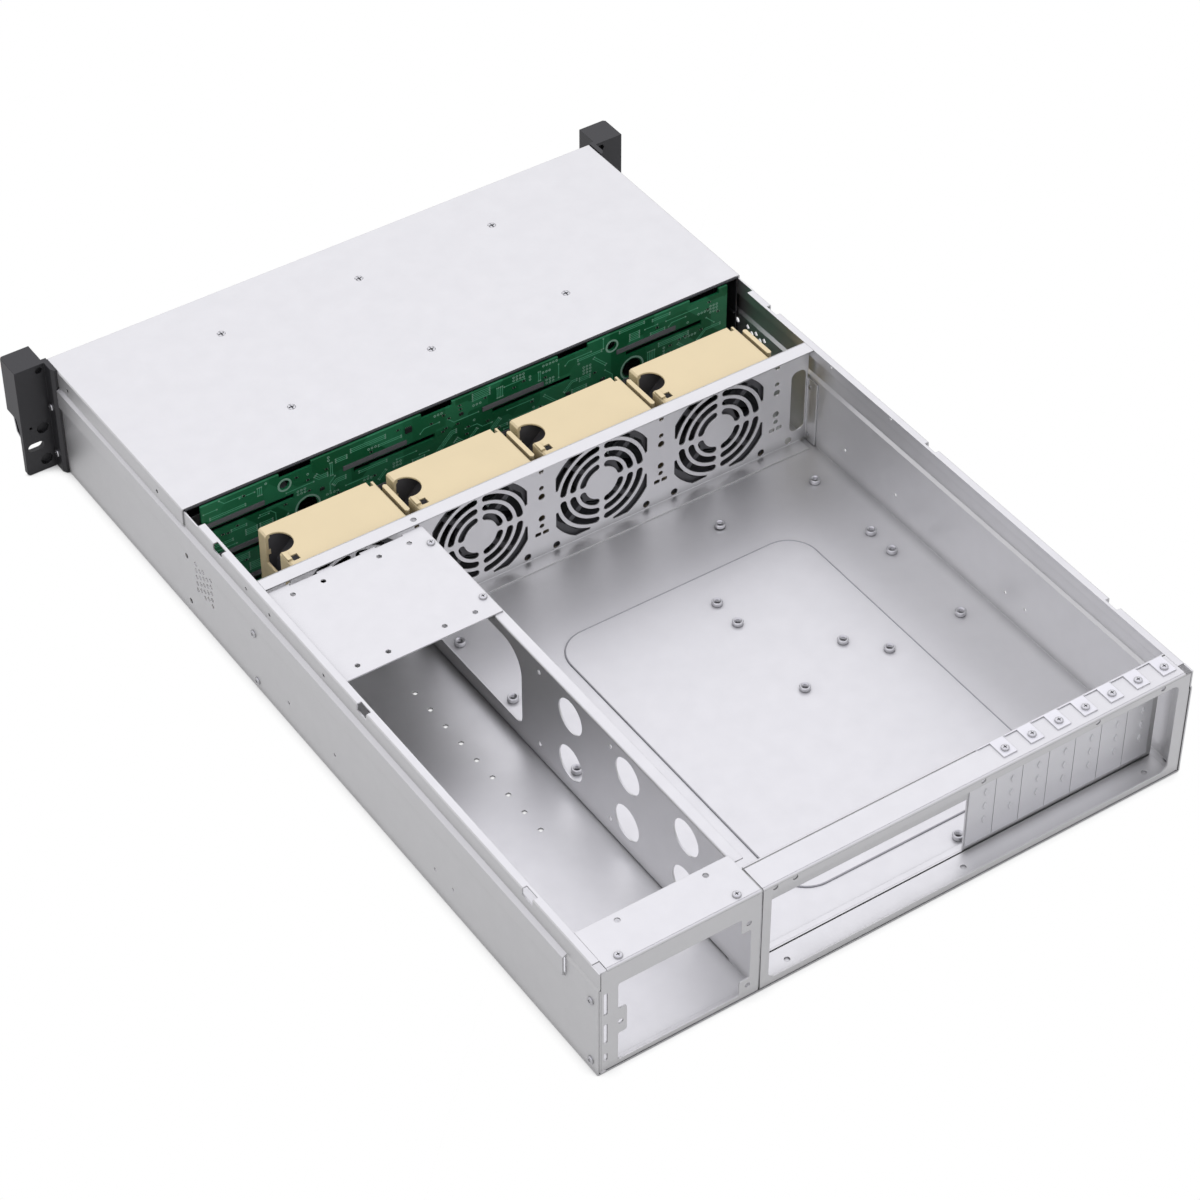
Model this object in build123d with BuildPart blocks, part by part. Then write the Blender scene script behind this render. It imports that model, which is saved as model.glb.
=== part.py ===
from build123d import *
import os
from math import asin, cos, degrees, radians, sin, tan

# Rackmount server case, two units high, with its rear top cover taken off.
# +Z is up, the front with the rack ears faces -Y, and the power supply bay is on the +X side.
# The origin lies on the underside of the base, in the middle of the body.

os.makedirs("parts", exist_ok=True)

# Driving dimensions in millimetres: the body and its sheet
body_width = 432.0
body_height = 87.5
body_length = 648.0
sheet = 1.0
bend_ease = 0.5
seat_gap = 0.1
top_gap = 0.2
corner_gap = 0.5
slide_gap = 0.5
screw_radius = 1.5
screw_gap = 0.06
small_sides = 6

# Side walls: the bead that stiffens them, and the band set in for the covers' skirts
bead_low = 56.0
bead_high = 73.5
bead_depth = 2.0
bead_start = 15.0
bead_end = 32.0
flange_width = 5.5
flange_start = 200.0
flange_stop = 8.0
notch_places = (225.0, 397.0, 576.0)
notch_length = 11.0
notch_drop = 5.0
notch_inset = 3.5

# Side wall vent: staggered columns of four-sided holes
vent_place = 204.0
vent_height = 40.0
vent_column = 4.75
vent_row = 5.5
vent_radius = 2.0
lamp_hole_place = 182.7
lamp_hole_heights = (10.7, 49.5)
side_hole_height = 19.5
side_hole_places = (307.0, 362.0, 477.0, 497.0)
side_hole_radius = 1.4
rear_screw_inset = 6.5
rear_screw_heights = (8.5, 59.0)

# Front top cover
cover_length = 182.0
cover_screw_spacing = 107.0
cover_screw_places = (41.0, 133.0)
skirt_screw_places = (28.0, 149.0)
skirt_screw_height = 79.5
skirt_clearance = 0.7
countersink_radius = 2.9
countersink_depth = 1.1

# Drive cage: four columns and three rows of trays, between walls that carry ledges
drive_columns = 4
drive_rows = 3
row_pitch = 27.8
first_row = 1.9
ledge_depth = 2.0
ledge_thickness = 0.8
cage_screw_depth = 6.0
cage_front = 2.0

# Drive trays and their levers
tray_front_depth = 9.0
tray_front_gap = 0.7
tray_wall = 1.4
tray_length = 158.0
tray_wall_height = 18.0
tray_bar = 10.0
tray_window_width = 68.0
tray_window_height = 11.0
lever_height = 17.0
lever_thickness = 4.0
lever_pin_inset = 6.0
lever_pin_radius = 1.5
lever_eye_radius = 3.2
lever_side_gap = 0.4
lever_end_inset = 6.0

# Backplane behind the cage
board_thickness = 1.6
board_place = 182.9
board_half_width = 204.0
board_low = 3.5
board_high = 85.0
drive_slot_length = 62.0
drive_slot_height = 4.0
drive_slot_shift = 8.0
drive_slot_level = 5.5
board_notch_width = 24.0
board_notch_depth = 3.5
board_notch_shift = -25.0
board_holes = ((143.4, 74.8, 3.6), (-109.5, 74.8, 3.6), (127.6, 49.0, 8.0), (-125.9, 49.0, 8.0))
socket_width = 42.0
socket_height = 5.0
socket_depth = 7.0
socket_level = 10.5
strip_length = 48.0
strip_height = 3.4
strip_thickness = 0.8
strip_shift = 23.0
data_socket_width = 20.0
data_socket_height = 9.0
data_socket_depth = 12.0
data_socket_level = 26.0
data_socket_columns = (-120.0, -20.0, 80.0)

# Fan wall, a folded sheet with four grilles
fan_wall_place = 263.7
fan_wall_flange = 11.3
fan_count = 4
fan_pitch = 94.0
fan_height = 42.0
grille_first_ring = 15.2
grille_ring_pitch = 7.6
grille_rings = 3
grille_slot = 5.0
grille_spoke = 3.4
slot_end_bulge = 0.7
grille_square = 36.0
grille_outer = 41.5
column_holes = ((73.9, 1.8), (59.9, 1.8), (52.6, 2.5), (34.1, 2.5), (27.6, 1.8))
latch_slot_height = 21.3
latch_slot_spacing = 5.9
latch_slot_width = 4.6
latch_slot_depth = 3.0
foot_hole_height = 5.8
foot_hole_shift = 11.3
foot_hole_radius = 2.9
cable_opening_low = 12.0
cable_opening_high = 63.5
cable_opening_width = 12.0
cable_opening_corner = 5.0
cable_opening_inset = 2.4
wall_screw_heights = (6.9, 47.5)
wall_screw_place = 267.4
end_flange_top = 54.0
top_hole_place = 99.5
top_hole_radius = 2.0

# Fan modules: moulded housing, fan frame and rotor
fan_size = 80.0
fan_depth = 38.0
fan_flange = 4.5
fan_corner = 3.0
duct_radius = 38.0
duct_wall = 1.6
hub_radius = 16.5
hub_depth = 24.0
blade_count = 7
blade_gap = 1.2
blade_chord = 27.0
blade_thickness = 1.8
blade_angle = 58.0
duct_sides = 12
motor_radius = 17.0
motor_depth = 5.0
arm_width = 4.0
shaft_radius = 2.0
shaft_gap = 0.05
rotor_gap = 1.0
housing_width = 84.0
housing_front = 220.0
housing_wall = 1.6
housing_top = 1.2
housing_ledge = 7.0
housing_round = 1.2
fan_set_back = 4.0
finger_radius = 9.8
finger_sides = 12
finger_side_wall = 1.0
finger_inset = 3.1
finger_place = 238.1
latch_notch = 5.0
button_width = 6.0
button_length = 8.0
button_height = 1.4
button_hole = 5.0
bar_gap = 2.3
bar_thickness = 3.3
bar_start = 227.0
bar_stop = 257.0
bar_low = 18.0
bar_web = 6.0

# Power supply bay: divider, plate over its front, and the row of holes in its floor
divider_face = 104.0
divider_top = 83.4
divider_start = 276.6
divider_fold_stop = 619.0
divider_flange = 7.5
divider_foot = 6.0
divider_hole_radius = 12.6
divider_hole_sides = 12
divider_hole_places = (453.5, 513.9, 573.9)
divider_hole_heights = (25.2, 64.6)
divider_small_places = (419.8, 496.5)
divider_small_heights = (13.9, 75.0)
divider_small_radius = 1.7
gate_start = 296.0
gate_stop = 400.0
gate_low = 13.5
gate_high = 75.0
gate_round = 20.0
gate_corner = 7.0
plate_place = 276.2
plate_length = 94.0
plate_edge = 97.4
plate_skirt = 8.0
side_strip_height = 79.0
side_strip_places = (260.0, 288.6, 353.0)
plate_hole_columns = (112.3, 134.3, 174.5, 196.2)
plate_hole_rows = (9.6, 85.8)
plate_hole_radius = 1.9
plate_screw_rows = (17.0, 77.0)
plate_screw_edge = 3.6
plate_notch = 20.0
plate_notch_depth = 1.6
plate_notch_columns = (122.0, 153.0, 184.0)
floor_hole_column = 137.1
floor_hole_start = 327.0
floor_hole_pitch = 17.91
floor_hole_count = 9
floor_hole_radius = 1.9

# Rear of the power supply bay
strip_depth = 33.0
strip_screw_inset = 5.5
strip_screw_columns = (117.8, 198.4)
strip_hole_inset = 27.5
strip_hole_columns = (123.6, 184.0)
supply_left = 202.0
supply_right = 117.6
supply_low = 5.5
supply_high = 70.0
supply_corner = 3.0
supply_tab_low = 28.5
supply_tab_high = 48.8
supply_tab_width = 6.0
supply_notch_low = 17.0
supply_notch_high = 58.0
supply_notch_width = 7.0
supply_holes = ((112.4, 64.2), (111.8, 11.3), (200.2, 37.5))
supply_hole_radius = 1.9
key_slot_column = 210.4
key_slot_heights = (13.0, 33.0, 58.0)
key_slot_lengths = (6.0, 16.0, 18.0)
key_slot_width = 2.6

# Input and output frame, slot wall and slot covers
frame_edge = 102.9
window_left = 97.0
window_right = -205.0
window_low = 7.0
window_top = 79.5
window_corner = 5.0
frame_flange = 19.3
slot_wall_place = 20.2
slot_wall_foot = 5.5
frame_hole_columns = (94.6, 80.7, -55.0, -141.4, -191.9)
frame_hole_height = 83.2
frame_hole_radius = 1.3
shield_left = 96.6
shield_width = 158.75
shield_low = 2.2
shield_height = 44.45
slot_count = 7
slot_pitch = 20.32
slot_rib = 0.6
slot_opening = 14.0
slot_low = 6.8
slot_cover_gap = 0.2
tab_width = 10.0
tab_length = 14.3
tab_shift = -6.6
tab_thickness = 0.8
slot_screw_inset = 11.3
cover_corner = 3.0
slot_vent_shift = -2.5
slot_vent_heights = (23.0, 34.5, 46.0)
slot_vent_length = 6.0
slot_vent_rise = 0.8
slot_vent_width = 2.6
ledge_hole_columns = (76.0, -54.7, -195.8)
ledge_hole_inset = 9.7

# Motherboard area: standoffs on the standard hole grid, and the shallow raised floor
board_rear_gap = 11.05
grid_columns = (-192.3, -67.8, 89.6)
grid_middle = 154.94
grid_front = 227.33
grid_extra = 250.0
grid_far = 311.8
standoff_height = 2.7
standoff_radius = 3.8
standoff_bore = 1.7
standoff_extras = ((-113.4, 306.0), (-113.8, 440.5), (-133.8, 463.0), (91.3, 441.4))
raised_height = 0.6
raised_start = 339.0
raised_stop = 602.0
raised_left = 42.0
raised_right = -152.0
raised_corner = 22.0

# Rack ears
ear_half_width = 241.3
ear_height = 87.8
ear_low = 0.3
ear_rear_face = 3.0
ear_plate = 4.0
ear_leg_length = 14.5
ear_leg_thickness = 3.4
ear_corner = 3.0
handle_reach = 18.5
handle_low = 45.0
handle_step = 4.2
handle_taper_low = 29.0
handle_inner = 219.6
rack_slot_column = 232.55
rack_slot_height = 22.0
rack_slot_length = 12.0
rack_slot_width = 6.8
ear_pocket_column = 226.0
ear_pocket_heights = (8.8, 35.6)
ear_pocket_radius = 4.6
ear_pocket_depth = 2.6
ear_hole_column = 223.6
ear_hole_height = 83.4
ear_hole_radius = 2.8
ear_pin_column = 234.7
ear_pin_height = 38.7
ear_pin_radius = 1.2
ear_screw_place = 6.5
ear_screw_heights = (13.0, 53.0)
trim_thickness = 1.4
trim_width = 13.0
trim_top = 11.0
trim_bend = (8.2, 31.5)
trim_low = 28.0
button_radius = 3.2
button_reach = 1.6
button_travel = 1.0
button_pocket = 4.0
button_column = 230.0
button_place = 66.0
light_radius = 1.2
light_depth = 2.0
light_places = (58.0, 66.0, 74.0)
pan_head_radius = 2.7
pan_head_height = 1.3
side_screw_length = 2.6

# Places worked out from the sizes above
front = -body_length / 2
rear = body_length / 2
half_width = body_width / 2
cover_under = body_height - sheet
flange_top = cover_under - top_gap
upper_face = half_width - sheet - seat_gap
upper_inside = upper_face - sheet
flange_edge = upper_face - flange_width


def eased(points):
    """The middle line of a sheet, with each square bend drawn as one short facet."""
    line = [Vector(*points[0])]
    for before, corner, after in zip(points, points[1:], points[2:]):
        middle = Vector(*corner)
        back = (Vector(*before) - middle).normalized()
        ahead = (Vector(*after) - middle).normalized()
        if abs(back.dot(ahead)) < 0.1:
            line += [middle + back * bend_ease, middle + ahead * bend_ease]
        else:
            line.append(middle)
    return line + [Vector(*points[-1])]


def fold(points):
    """Section of a folded sheet whose middle follows the points, for the sketch in hand."""
    line = eased(points)
    ways = [(after - before).normalized() for before, after in zip(line, line[1:])]
    sides = [Vector(-way.Y, way.X) for way in ways]
    inward, outward = [], []
    for place, point in enumerate(line):
        one, two = sides[max(place - 1, 0)], sides[min(place, len(sides) - 1)]
        mitre = (one + two) * (sheet / 2 / (1 + one.dot(two)))
        inward.append((point.X + mitre.X, point.Y + mitre.Y))
        outward.append((point.X - mitre.X, point.Y - mitre.Y))
    Polygon(*inward, *reversed(outward), align=None)


def polar(radius, angle):
    """A point at one radius and an angle in degrees."""
    return (radius * cos(radians(angle)), radius * sin(radians(angle)))


def around(radius, start, stop, steps):
    """Points at one radius, evenly between two angles."""
    return [polar(radius, start + (stop - start) * step / steps) for step in range(steps + 1)]


def arc_slot(radius, start, stop, steps):
    """A curved slot with tapered ends, between two angles, for the sketch in hand."""
    half = grille_slot / 2
    bulge = degrees(half * slot_end_bulge / radius)
    inner = around(radius - half, start, stop, steps)
    outer = around(radius + half, stop, start, steps)
    far_end, near_end = polar(radius, stop + bulge), polar(radius, start - bulge)
    Polygon(*inner, far_end, *outer, near_end, align=None)


def corner_slot(turn):
    """A grille opening in one corner of the fan's square, for the sketch in hand."""
    low = degrees(asin(grille_square / 4 / outer_ring))
    inner = around(outer_ring, 90 - low, low, 3)
    reach = grille_square * tan(radians(low))
    cut = (grille_outer**2 - grille_square**2) ** 0.5
    outer = [(grille_square, reach), (grille_square, cut), (cut, grille_square)]
    Polygon(*inner, *outer, (reach, grille_square), rotation=turn, align=None)


def small_hole(radius):
    """A punched hole, drawn with few sides because it is small."""
    RegularPolygon(radius=radius, side_count=small_sides)


def keep(piece, name):
    """Label a finished piece and write it under its own name."""
    piece.label = name
    export_step(piece, f"parts/{name}.step")


def screw(length):
    """A pan head screw that points down, with the underside of its head at the origin."""
    with BuildPart() as made:
        with BuildSketch(Plane.XY):
            RegularPolygon(radius=pan_head_radius, side_count=small_sides)
        extrude(amount=pan_head_height)
        with BuildSketch(Plane.XY):
            RegularPolygon(radius=screw_radius, side_count=small_sides)
        extrude(amount=-length)
    return made.part


def flat_screw(length):
    """A countersunk screw that points down, with the top of its head at the origin."""
    with BuildPart() as made:
        with BuildSketch(Plane.XY):
            RegularPolygon(radius=countersink_radius, side_count=small_sides)
        extrude(amount=-countersink_depth, taper=45)
        with BuildSketch(Plane.XY):
            RegularPolygon(radius=screw_radius, side_count=small_sides)
        extrude(amount=-length)
    return made.part


# Base tray: floor, beaded side walls and top flanges folded from one sheet
def wall_line(beaded, flanged):
    """Middle line of the tray's section on the +X side, from the floor upwards."""
    lower = half_width - sheet / 2
    upper = upper_face - sheet / 2
    line = [(lower, sheet / 2)]
    if beaded:
        line.append((lower, bead_low))
        line.append((lower + bead_depth, bead_low + bead_depth))
        line.append((lower + bead_depth, bead_high - bead_depth))
    else:
        line.append((lower, bead_high - bead_depth))
    line.append((upper, bead_high))
    line.append((upper, flange_top - sheet / 2))
    if flanged:
        line.append((flange_edge, flange_top - sheet / 2))
    return line


zones = (
    (front, front + bead_start, False, False),
    (front + bead_start, front + flange_start, True, False),
    (front + flange_start, rear - bead_end, True, True),
    (rear - bead_end, rear - flange_stop, False, True),
    (rear - flange_stop, rear, False, False),
)
with BuildPart() as base_tray:
    for start, stop, beaded, flanged in zones:
        half_line = wall_line(beaded, flanged)
        mirrored = [(-x, z) for x, z in reversed(half_line)]
        with BuildSketch(Plane.XZ.offset(-stop)):
            fold(mirrored + half_line)
        extrude(amount=stop - start)

    # shallow raised floor under the motherboard
    raised_middle = (
        (raised_left + raised_right) / 2,
        front + (raised_start + raised_stop) / 2,
    )
    raised_size = (raised_left - raised_right, raised_stop - raised_start)
    with BuildSketch(Plane.XY.offset(sheet)):
        with Locations(raised_middle):
            RectangleRounded(*raised_size, raised_corner)
    extrude(amount=raised_height)
    with BuildSketch(Plane.XY) as pressed_outline:
        with Locations(raised_middle):
            Rectangle(raised_size[0] - 2 * sheet, raised_size[1] - 2 * sheet)
        chamfer(pressed_outline.vertices(), length=raised_corner - 4 * sheet)
    extrude(amount=raised_height, mode=Mode.SUBTRACT)

    # row of holes in the power supply bay, and holes under the rear frame
    with BuildSketch(Plane.XY):
        for hole in range(floor_hole_count):
            with Locations((floor_hole_column, front + floor_hole_start + hole * floor_hole_pitch)):
                small_hole(floor_hole_radius)
    extrude(amount=2 * sheet, mode=Mode.SUBTRACT)

    # openings in the side walls: vent, lamp holes, screw holes and hooks for the covers
    for side in (-1, 1):
        with BuildSketch(Plane.YZ.offset(side * (half_width + bead_depth))):
            for column in range(-2, 3):
                holes = 5 if column % 2 == 0 else 4
                for hole in range(holes):
                    height = vent_height + (hole - (holes - 1) / 2) * vent_row
                    with Locations((front + vent_place + column * vent_column, height)):
                        RegularPolygon(radius=vent_radius, side_count=4)
            for height in lamp_hole_heights:
                with Locations((front + lamp_hole_place, height)):
                    small_hole(side_hole_radius + screw_radius / 2)
            for place in side_hole_places:
                with Locations((front + place, side_hole_height)):
                    small_hole(side_hole_radius)
            for height in wall_screw_heights:
                with Locations((front + wall_screw_place, height)):
                    small_hole(screw_radius + screw_gap)
        extrude(amount=-side * 3 * bead_depth, mode=Mode.SUBTRACT)
        with BuildSketch(Plane.XY.offset(flange_top)):
            for place in notch_places:
                with Locations((side * (upper_face - notch_inset / 2), front + place)):
                    Rectangle(notch_inset, notch_length)
        extrude(amount=-notch_drop, mode=Mode.SUBTRACT)
        # threaded holes for the ear screws and the skirt screws
        with BuildSketch(Plane.YZ.offset(side * (half_width + bead_depth))):
            for height in ear_screw_heights:
                with Locations((front + ear_screw_place, height)):
                    small_hole(screw_radius + screw_gap)
            for height in rear_screw_heights:
                with Locations((rear - rear_screw_inset, height)):
                    small_hole(screw_radius + screw_gap)
            for place in side_strip_places:
                with Locations((front + place, side_strip_height)):
                    small_hole(side_hole_radius)
            for place in skirt_screw_places:
                with Locations((front + place, skirt_screw_height)):
                    small_hole(screw_radius + screw_gap)
        extrude(amount=-side * 3 * bead_depth, mode=Mode.SUBTRACT)
keep(base_tray.part, "base_tray")

# Front top cover with a skirt down each side
skirt_low = bead_high + skirt_clearance
with BuildPart() as front_cover:
    skirt_middle = half_width - sheet / 2
    with BuildSketch(Plane.XZ.offset(-(front + cover_length))):
        fold(
            [
                (-skirt_middle, skirt_low),
                (-skirt_middle, body_height - sheet / 2),
                (skirt_middle, body_height - sheet / 2),
                (skirt_middle, skirt_low),
            ]
        )
    extrude(amount=cover_length)
    cover_screw_spots = [
        (column * cover_screw_spacing, front + place)
        for column in (-1, 0, 1)
        for place in cover_screw_places
    ]
    with BuildSketch(Plane.XY.offset(body_height)):
        for x, y in cover_screw_spots:
            with Locations((x, y)):
                small_hole(countersink_radius + screw_gap)
    extrude(amount=-countersink_depth, taper=45, mode=Mode.SUBTRACT)
    with BuildSketch(Plane.XY.offset(body_height)):
        for x, y in cover_screw_spots:
            with Locations((x, y)):
                small_hole(screw_radius + screw_gap)
    extrude(amount=-2 * sheet, mode=Mode.SUBTRACT)
    for side in (-1, 1):
        with BuildSketch(Plane.YZ.offset(side * (half_width + bead_depth))):
            for place in skirt_screw_places:
                with Locations((front + place, skirt_screw_height)):
                    small_hole(screw_radius + screw_gap)
        extrude(amount=-side * 2 * bead_depth, mode=Mode.SUBTRACT)
keep(front_cover.part, "front_cover")

# Drive cage: walls between the columns with ledges for the trays, and a top sheet
cage_rear = front + board_place - seat_gap
cage_start = front + cage_front
cage_top = cover_under
cage_low = sheet
cage_half = upper_inside - seat_gap
column_pitch = (2 * cage_half - sheet) / drive_columns
bay_width = column_pitch - sheet
wall_places = [(column - drive_columns / 2) * column_pitch for column in range(drive_columns + 1)]
bay_places = [place + column_pitch / 2 for place in wall_places[:-1]]
with BuildPart() as cage_walls:
    with BuildSketch(Plane.XY.offset(cage_low)):
        for x in wall_places:
            with Locations((x, (cage_start + cage_rear) / 2)):
                Rectangle(sheet, cage_rear - cage_start)
    extrude(amount=cage_top - sheet - cage_low)
    ledge_start = cage_start + tray_front_depth
    for row in range(drive_rows):
        ledge_top = first_row + row * row_pitch
        with BuildSketch(Plane.XY.offset(ledge_top - ledge_thickness)):
            for x in wall_places:
                with Locations((x, (ledge_start + cage_rear) / 2)):
                    Rectangle(sheet + 2 * ledge_depth, cage_rear - ledge_start)
            Rectangle(2 * cage_half, body_length, mode=Mode.INTERSECT)
        extrude(amount=ledge_thickness)
    with BuildSketch(Plane.XY.offset(cage_top)):
        for x, y in cover_screw_spots:
            with Locations((x, y)):
                small_hole(countersink_radius)
    extrude(amount=-cage_screw_depth, mode=Mode.SUBTRACT)
keep(cage_walls.part, "cage_walls")

with BuildPart() as cage_top_sheet:
    with BuildSketch(Plane.XY.offset(cage_top - sheet)):
        with Locations((0, (cage_start + cage_rear) / 2)):
            Rectangle(2 * cage_half, cage_rear - cage_start)
        for x, y in cover_screw_spots:
            with Locations((x, y)):
                RegularPolygon(
                    radius=countersink_radius, side_count=small_sides, mode=Mode.SUBTRACT
                )
    extrude(amount=sheet)
keep(cage_top_sheet.part, "cage_top")

# Backplane behind the cage, with a cut for the air below each drive socket
board_front = front + board_place
board_rear = board_front + board_thickness
row_levels = [first_row + row * row_pitch for row in range(drive_rows)]
with BuildPart() as backplane:
    with BuildSketch(Plane.XZ.offset(-board_rear)):
        with Locations((0, (board_low + board_high) / 2)):
            Rectangle(2 * board_half_width, board_high - board_low)
        for x in bay_places:
            with Locations((x + board_notch_shift, board_high - board_notch_depth / 2)):
                Rectangle(board_notch_width, board_notch_depth, mode=Mode.SUBTRACT)
            for level in row_levels:
                with Locations((x + drive_slot_shift, level + drive_slot_level)):
                    Rectangle(drive_slot_length, drive_slot_height, mode=Mode.SUBTRACT)
        for x, z, radius in board_holes:
            with Locations((x, z)):
                RegularPolygon(radius=radius, side_count=8, mode=Mode.SUBTRACT)
    extrude(amount=board_thickness)
keep(backplane.part, "backplane")

with BuildPart() as backplane_connectors:
    with BuildSketch(Plane.XZ.offset(-board_front)):
        for x in bay_places:
            for level in row_levels:
                with Locations((x, level + socket_level)):
                    Rectangle(socket_width, socket_height)
    extrude(amount=socket_depth)
    with BuildSketch(Plane.XZ.offset(-board_rear)):
        for x in bay_places:
            for level in row_levels:
                with Locations((x + strip_shift, level + socket_level)):
                    Rectangle(strip_length, strip_height)
    extrude(amount=-strip_thickness)
    with BuildSketch(Plane.XZ.offset(-board_rear)):
        for x in data_socket_columns:
            with Locations((x, data_socket_level)):
                Rectangle(data_socket_width, data_socket_height)
    extrude(amount=-data_socket_depth)
keep(backplane_connectors.part, "backplane_connectors")

# Drive tray: front with a recess for the lever, two rails and two cross bars
tray_width = bay_width - 2 * slide_gap
tray_low = tray_front_gap / 2 - ledge_thickness
tray_high = tray_low + row_pitch - tray_front_gap
lever_middle = (tray_low + tray_high) / 2
pin_x = lever_pin_inset - tray_width / 2
pin_y = lever_eye_radius
lever_tip = tray_width / 2 - lever_end_inset
recess_left = pin_x - lever_eye_radius - lever_side_gap
recess_right = lever_tip + lever_side_gap
recess_depth = 2 * lever_eye_radius + lever_side_gap
recess_height = lever_height + 2 * lever_side_gap
with BuildPart() as tray:
    with BuildSketch(Plane.XY.offset(tray_low)):
        with Locations((0, tray_front_depth / 2)):
            Rectangle(tray_width, tray_front_depth)
    extrude(amount=tray_high - tray_low)
    with BuildSketch(Plane.XY.offset(lever_middle - recess_height / 2)):
        with Locations(((recess_left + recess_right) / 2, recess_depth / 2)):
            Rectangle(recess_right - recess_left, recess_depth)
    extrude(amount=recess_height, mode=Mode.SUBTRACT)
    with BuildSketch(Plane.XY.offset(lever_middle - recess_height / 2)):
        with Locations((pin_x, pin_y)):
            RegularPolygon(radius=lever_pin_radius, side_count=small_sides)
    extrude(amount=recess_height)
    with BuildSketch(Plane.XZ.offset(-tray_front_depth)):
        with Locations((0, lever_middle)):
            Rectangle(tray_window_width, tray_window_height)
    extrude(amount=tray_front_depth - recess_depth, mode=Mode.SUBTRACT)
    with BuildSketch(Plane.XY):
        for side in (-1, 1):
            rail_middle = (tray_front_depth + tray_length) / 2
            with Locations((side * (tray_width - tray_wall) / 2, rail_middle)):
                Rectangle(tray_wall, tray_length - tray_front_depth)
    extrude(amount=tray_wall_height)
    with BuildSketch(Plane.XY):
        for place in (tray_length / 2, tray_length - tray_bar / 2):
            with Locations((0, place)):
                Rectangle(tray_width, tray_bar)
    extrude(amount=tray_wall)

# Lever that closes across the front of a tray and turns on the tray's pin
with BuildPart() as lever:
    with BuildSketch(Plane.XY.offset(lever_middle - lever_height / 2)):
        with Locations(((pin_x + lever_tip) / 2, lever_thickness / 2)):
            Rectangle(lever_tip - pin_x, lever_thickness)
        with Locations((pin_x, pin_y)):
            RegularPolygon(radius=lever_eye_radius, side_count=small_sides)
            RegularPolygon(
                radius=lever_pin_radius + shaft_gap,
                side_count=small_sides,
                major_radius=False,
                mode=Mode.SUBTRACT,
            )
    extrude(amount=lever_height)
    with BuildSketch(Plane.XZ.offset(-lever_thickness)):
        with Locations((0, lever_middle)):
            Rectangle(tray_window_width, tray_window_height / 2)
    extrude(amount=lever_thickness, mode=Mode.SUBTRACT)

tray_number = 0
for level in row_levels:
    for x in bay_places:
        tray_number += 1
        bay = Pos(x, cage_start, level)
        keep(bay * tray.part, f"drive_tray_{tray_number}")
        keep(bay * lever.part, f"tray_lever_{tray_number}")

# Fan wall: one folded sheet across the body with a grille in front of each fan
fan_places = [(fan - (fan_count - 1) / 2) * fan_pitch for fan in range(fan_count)]
wall_front = front + fan_wall_place
wall_rear = wall_front + sheet
wall_flange_edge = wall_front + fan_wall_flange
wall_middle = wall_front + sheet / 2
wall_top = flange_top - sheet - 3 * seat_gap
outer_ring = grille_first_ring + grille_rings * grille_ring_pitch - grille_slot / 2
end_middle = half_width - 3 * sheet / 2 - seat_gap
with BuildPart() as fan_wall:
    with BuildSketch(Plane.YZ):
        fold(
            [
                (wall_flange_edge, 3 * sheet / 2),
                (wall_middle, 3 * sheet / 2),
                (wall_middle, flange_top - sheet / 2),
                (wall_flange_edge, flange_top - sheet / 2),
            ]
        )
    extrude(amount=flange_edge - seat_gap, both=True)
    with BuildSketch(Plane.XZ.offset(-wall_rear)):
        with Locations((0, (sheet + wall_top) / 2)):
            Rectangle(2 * cage_half, wall_top - sheet)
    extrude(amount=sheet)
    with BuildSketch(Plane.XY.offset(sheet + corner_gap)):
        fold(
            [
                (-end_middle, wall_flange_edge),
                (-end_middle, wall_middle),
                (end_middle, wall_middle),
                (end_middle, wall_flange_edge),
            ]
        )
    extrude(amount=end_flange_top - sheet - corner_gap)
    face = Plane.XZ.offset(-wall_middle)
    for x in fan_places:
        with BuildSketch(face):
            with Locations((x, fan_height)):
                for quarter in range(4):
                    corner_slot(quarter * 90)
                    for ring in range(grille_rings):
                        radius = grille_first_ring + ring * grille_ring_pitch
                        spoke = degrees(asin((grille_spoke + grille_slot) / 2 / radius))
                        start = quarter * 90 + spoke
                        arc_slot(radius, start, start + 90 - 2 * spoke, 2 + (ring + 1) // 2)
        extrude(amount=sheet, both=True, mode=Mode.SUBTRACT)
    with BuildSketch(face) as wall_cuts:
        for side in (-1, 1):
            opening_edge = side * (end_middle - cable_opening_inset - cable_opening_width / 2)
            opening_middle = (cable_opening_low + cable_opening_high) / 2
            with Locations((opening_edge, opening_middle)):
                Rectangle(cable_opening_width, cable_opening_high - cable_opening_low)
        chamfer(wall_cuts.vertices(), length=cable_opening_corner / 2)
        for column in range(-2, 3):
            x = column * fan_pitch
            for height, radius in column_holes:
                with Locations((x, height)):
                    small_hole(radius)
            for side in (-1, 1):
                with Locations((x + side * latch_slot_spacing / 2, latch_slot_height)):
                    Rectangle(latch_slot_width, latch_slot_depth)
                with Locations((x + side * foot_hole_shift, foot_hole_height)):
                    small_hole(foot_hole_radius)
    extrude(amount=sheet, both=True, mode=Mode.SUBTRACT)
    for side in (-1, 1):
        with BuildSketch(Plane.YZ.offset(side * half_width)):
            for height in wall_screw_heights:
                with Locations((front + wall_screw_place, height)):
                    small_hole(screw_radius + screw_gap)
            with Locations((wall_flange_edge, end_flange_top)):
                RegularPolygon(radius=2 * grille_slot, side_count=4)
        extrude(amount=-side * 3 * sheet, mode=Mode.SUBTRACT)
    with BuildSketch(Plane.XY.offset(flange_top)):
        with Locations((top_hole_place, wall_rear + fan_wall_flange / 2)):
            small_hole(top_hole_radius)
    extrude(amount=-2 * sheet, mode=Mode.SUBTRACT)
keep(fan_wall.part, "fan_wall")

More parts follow.
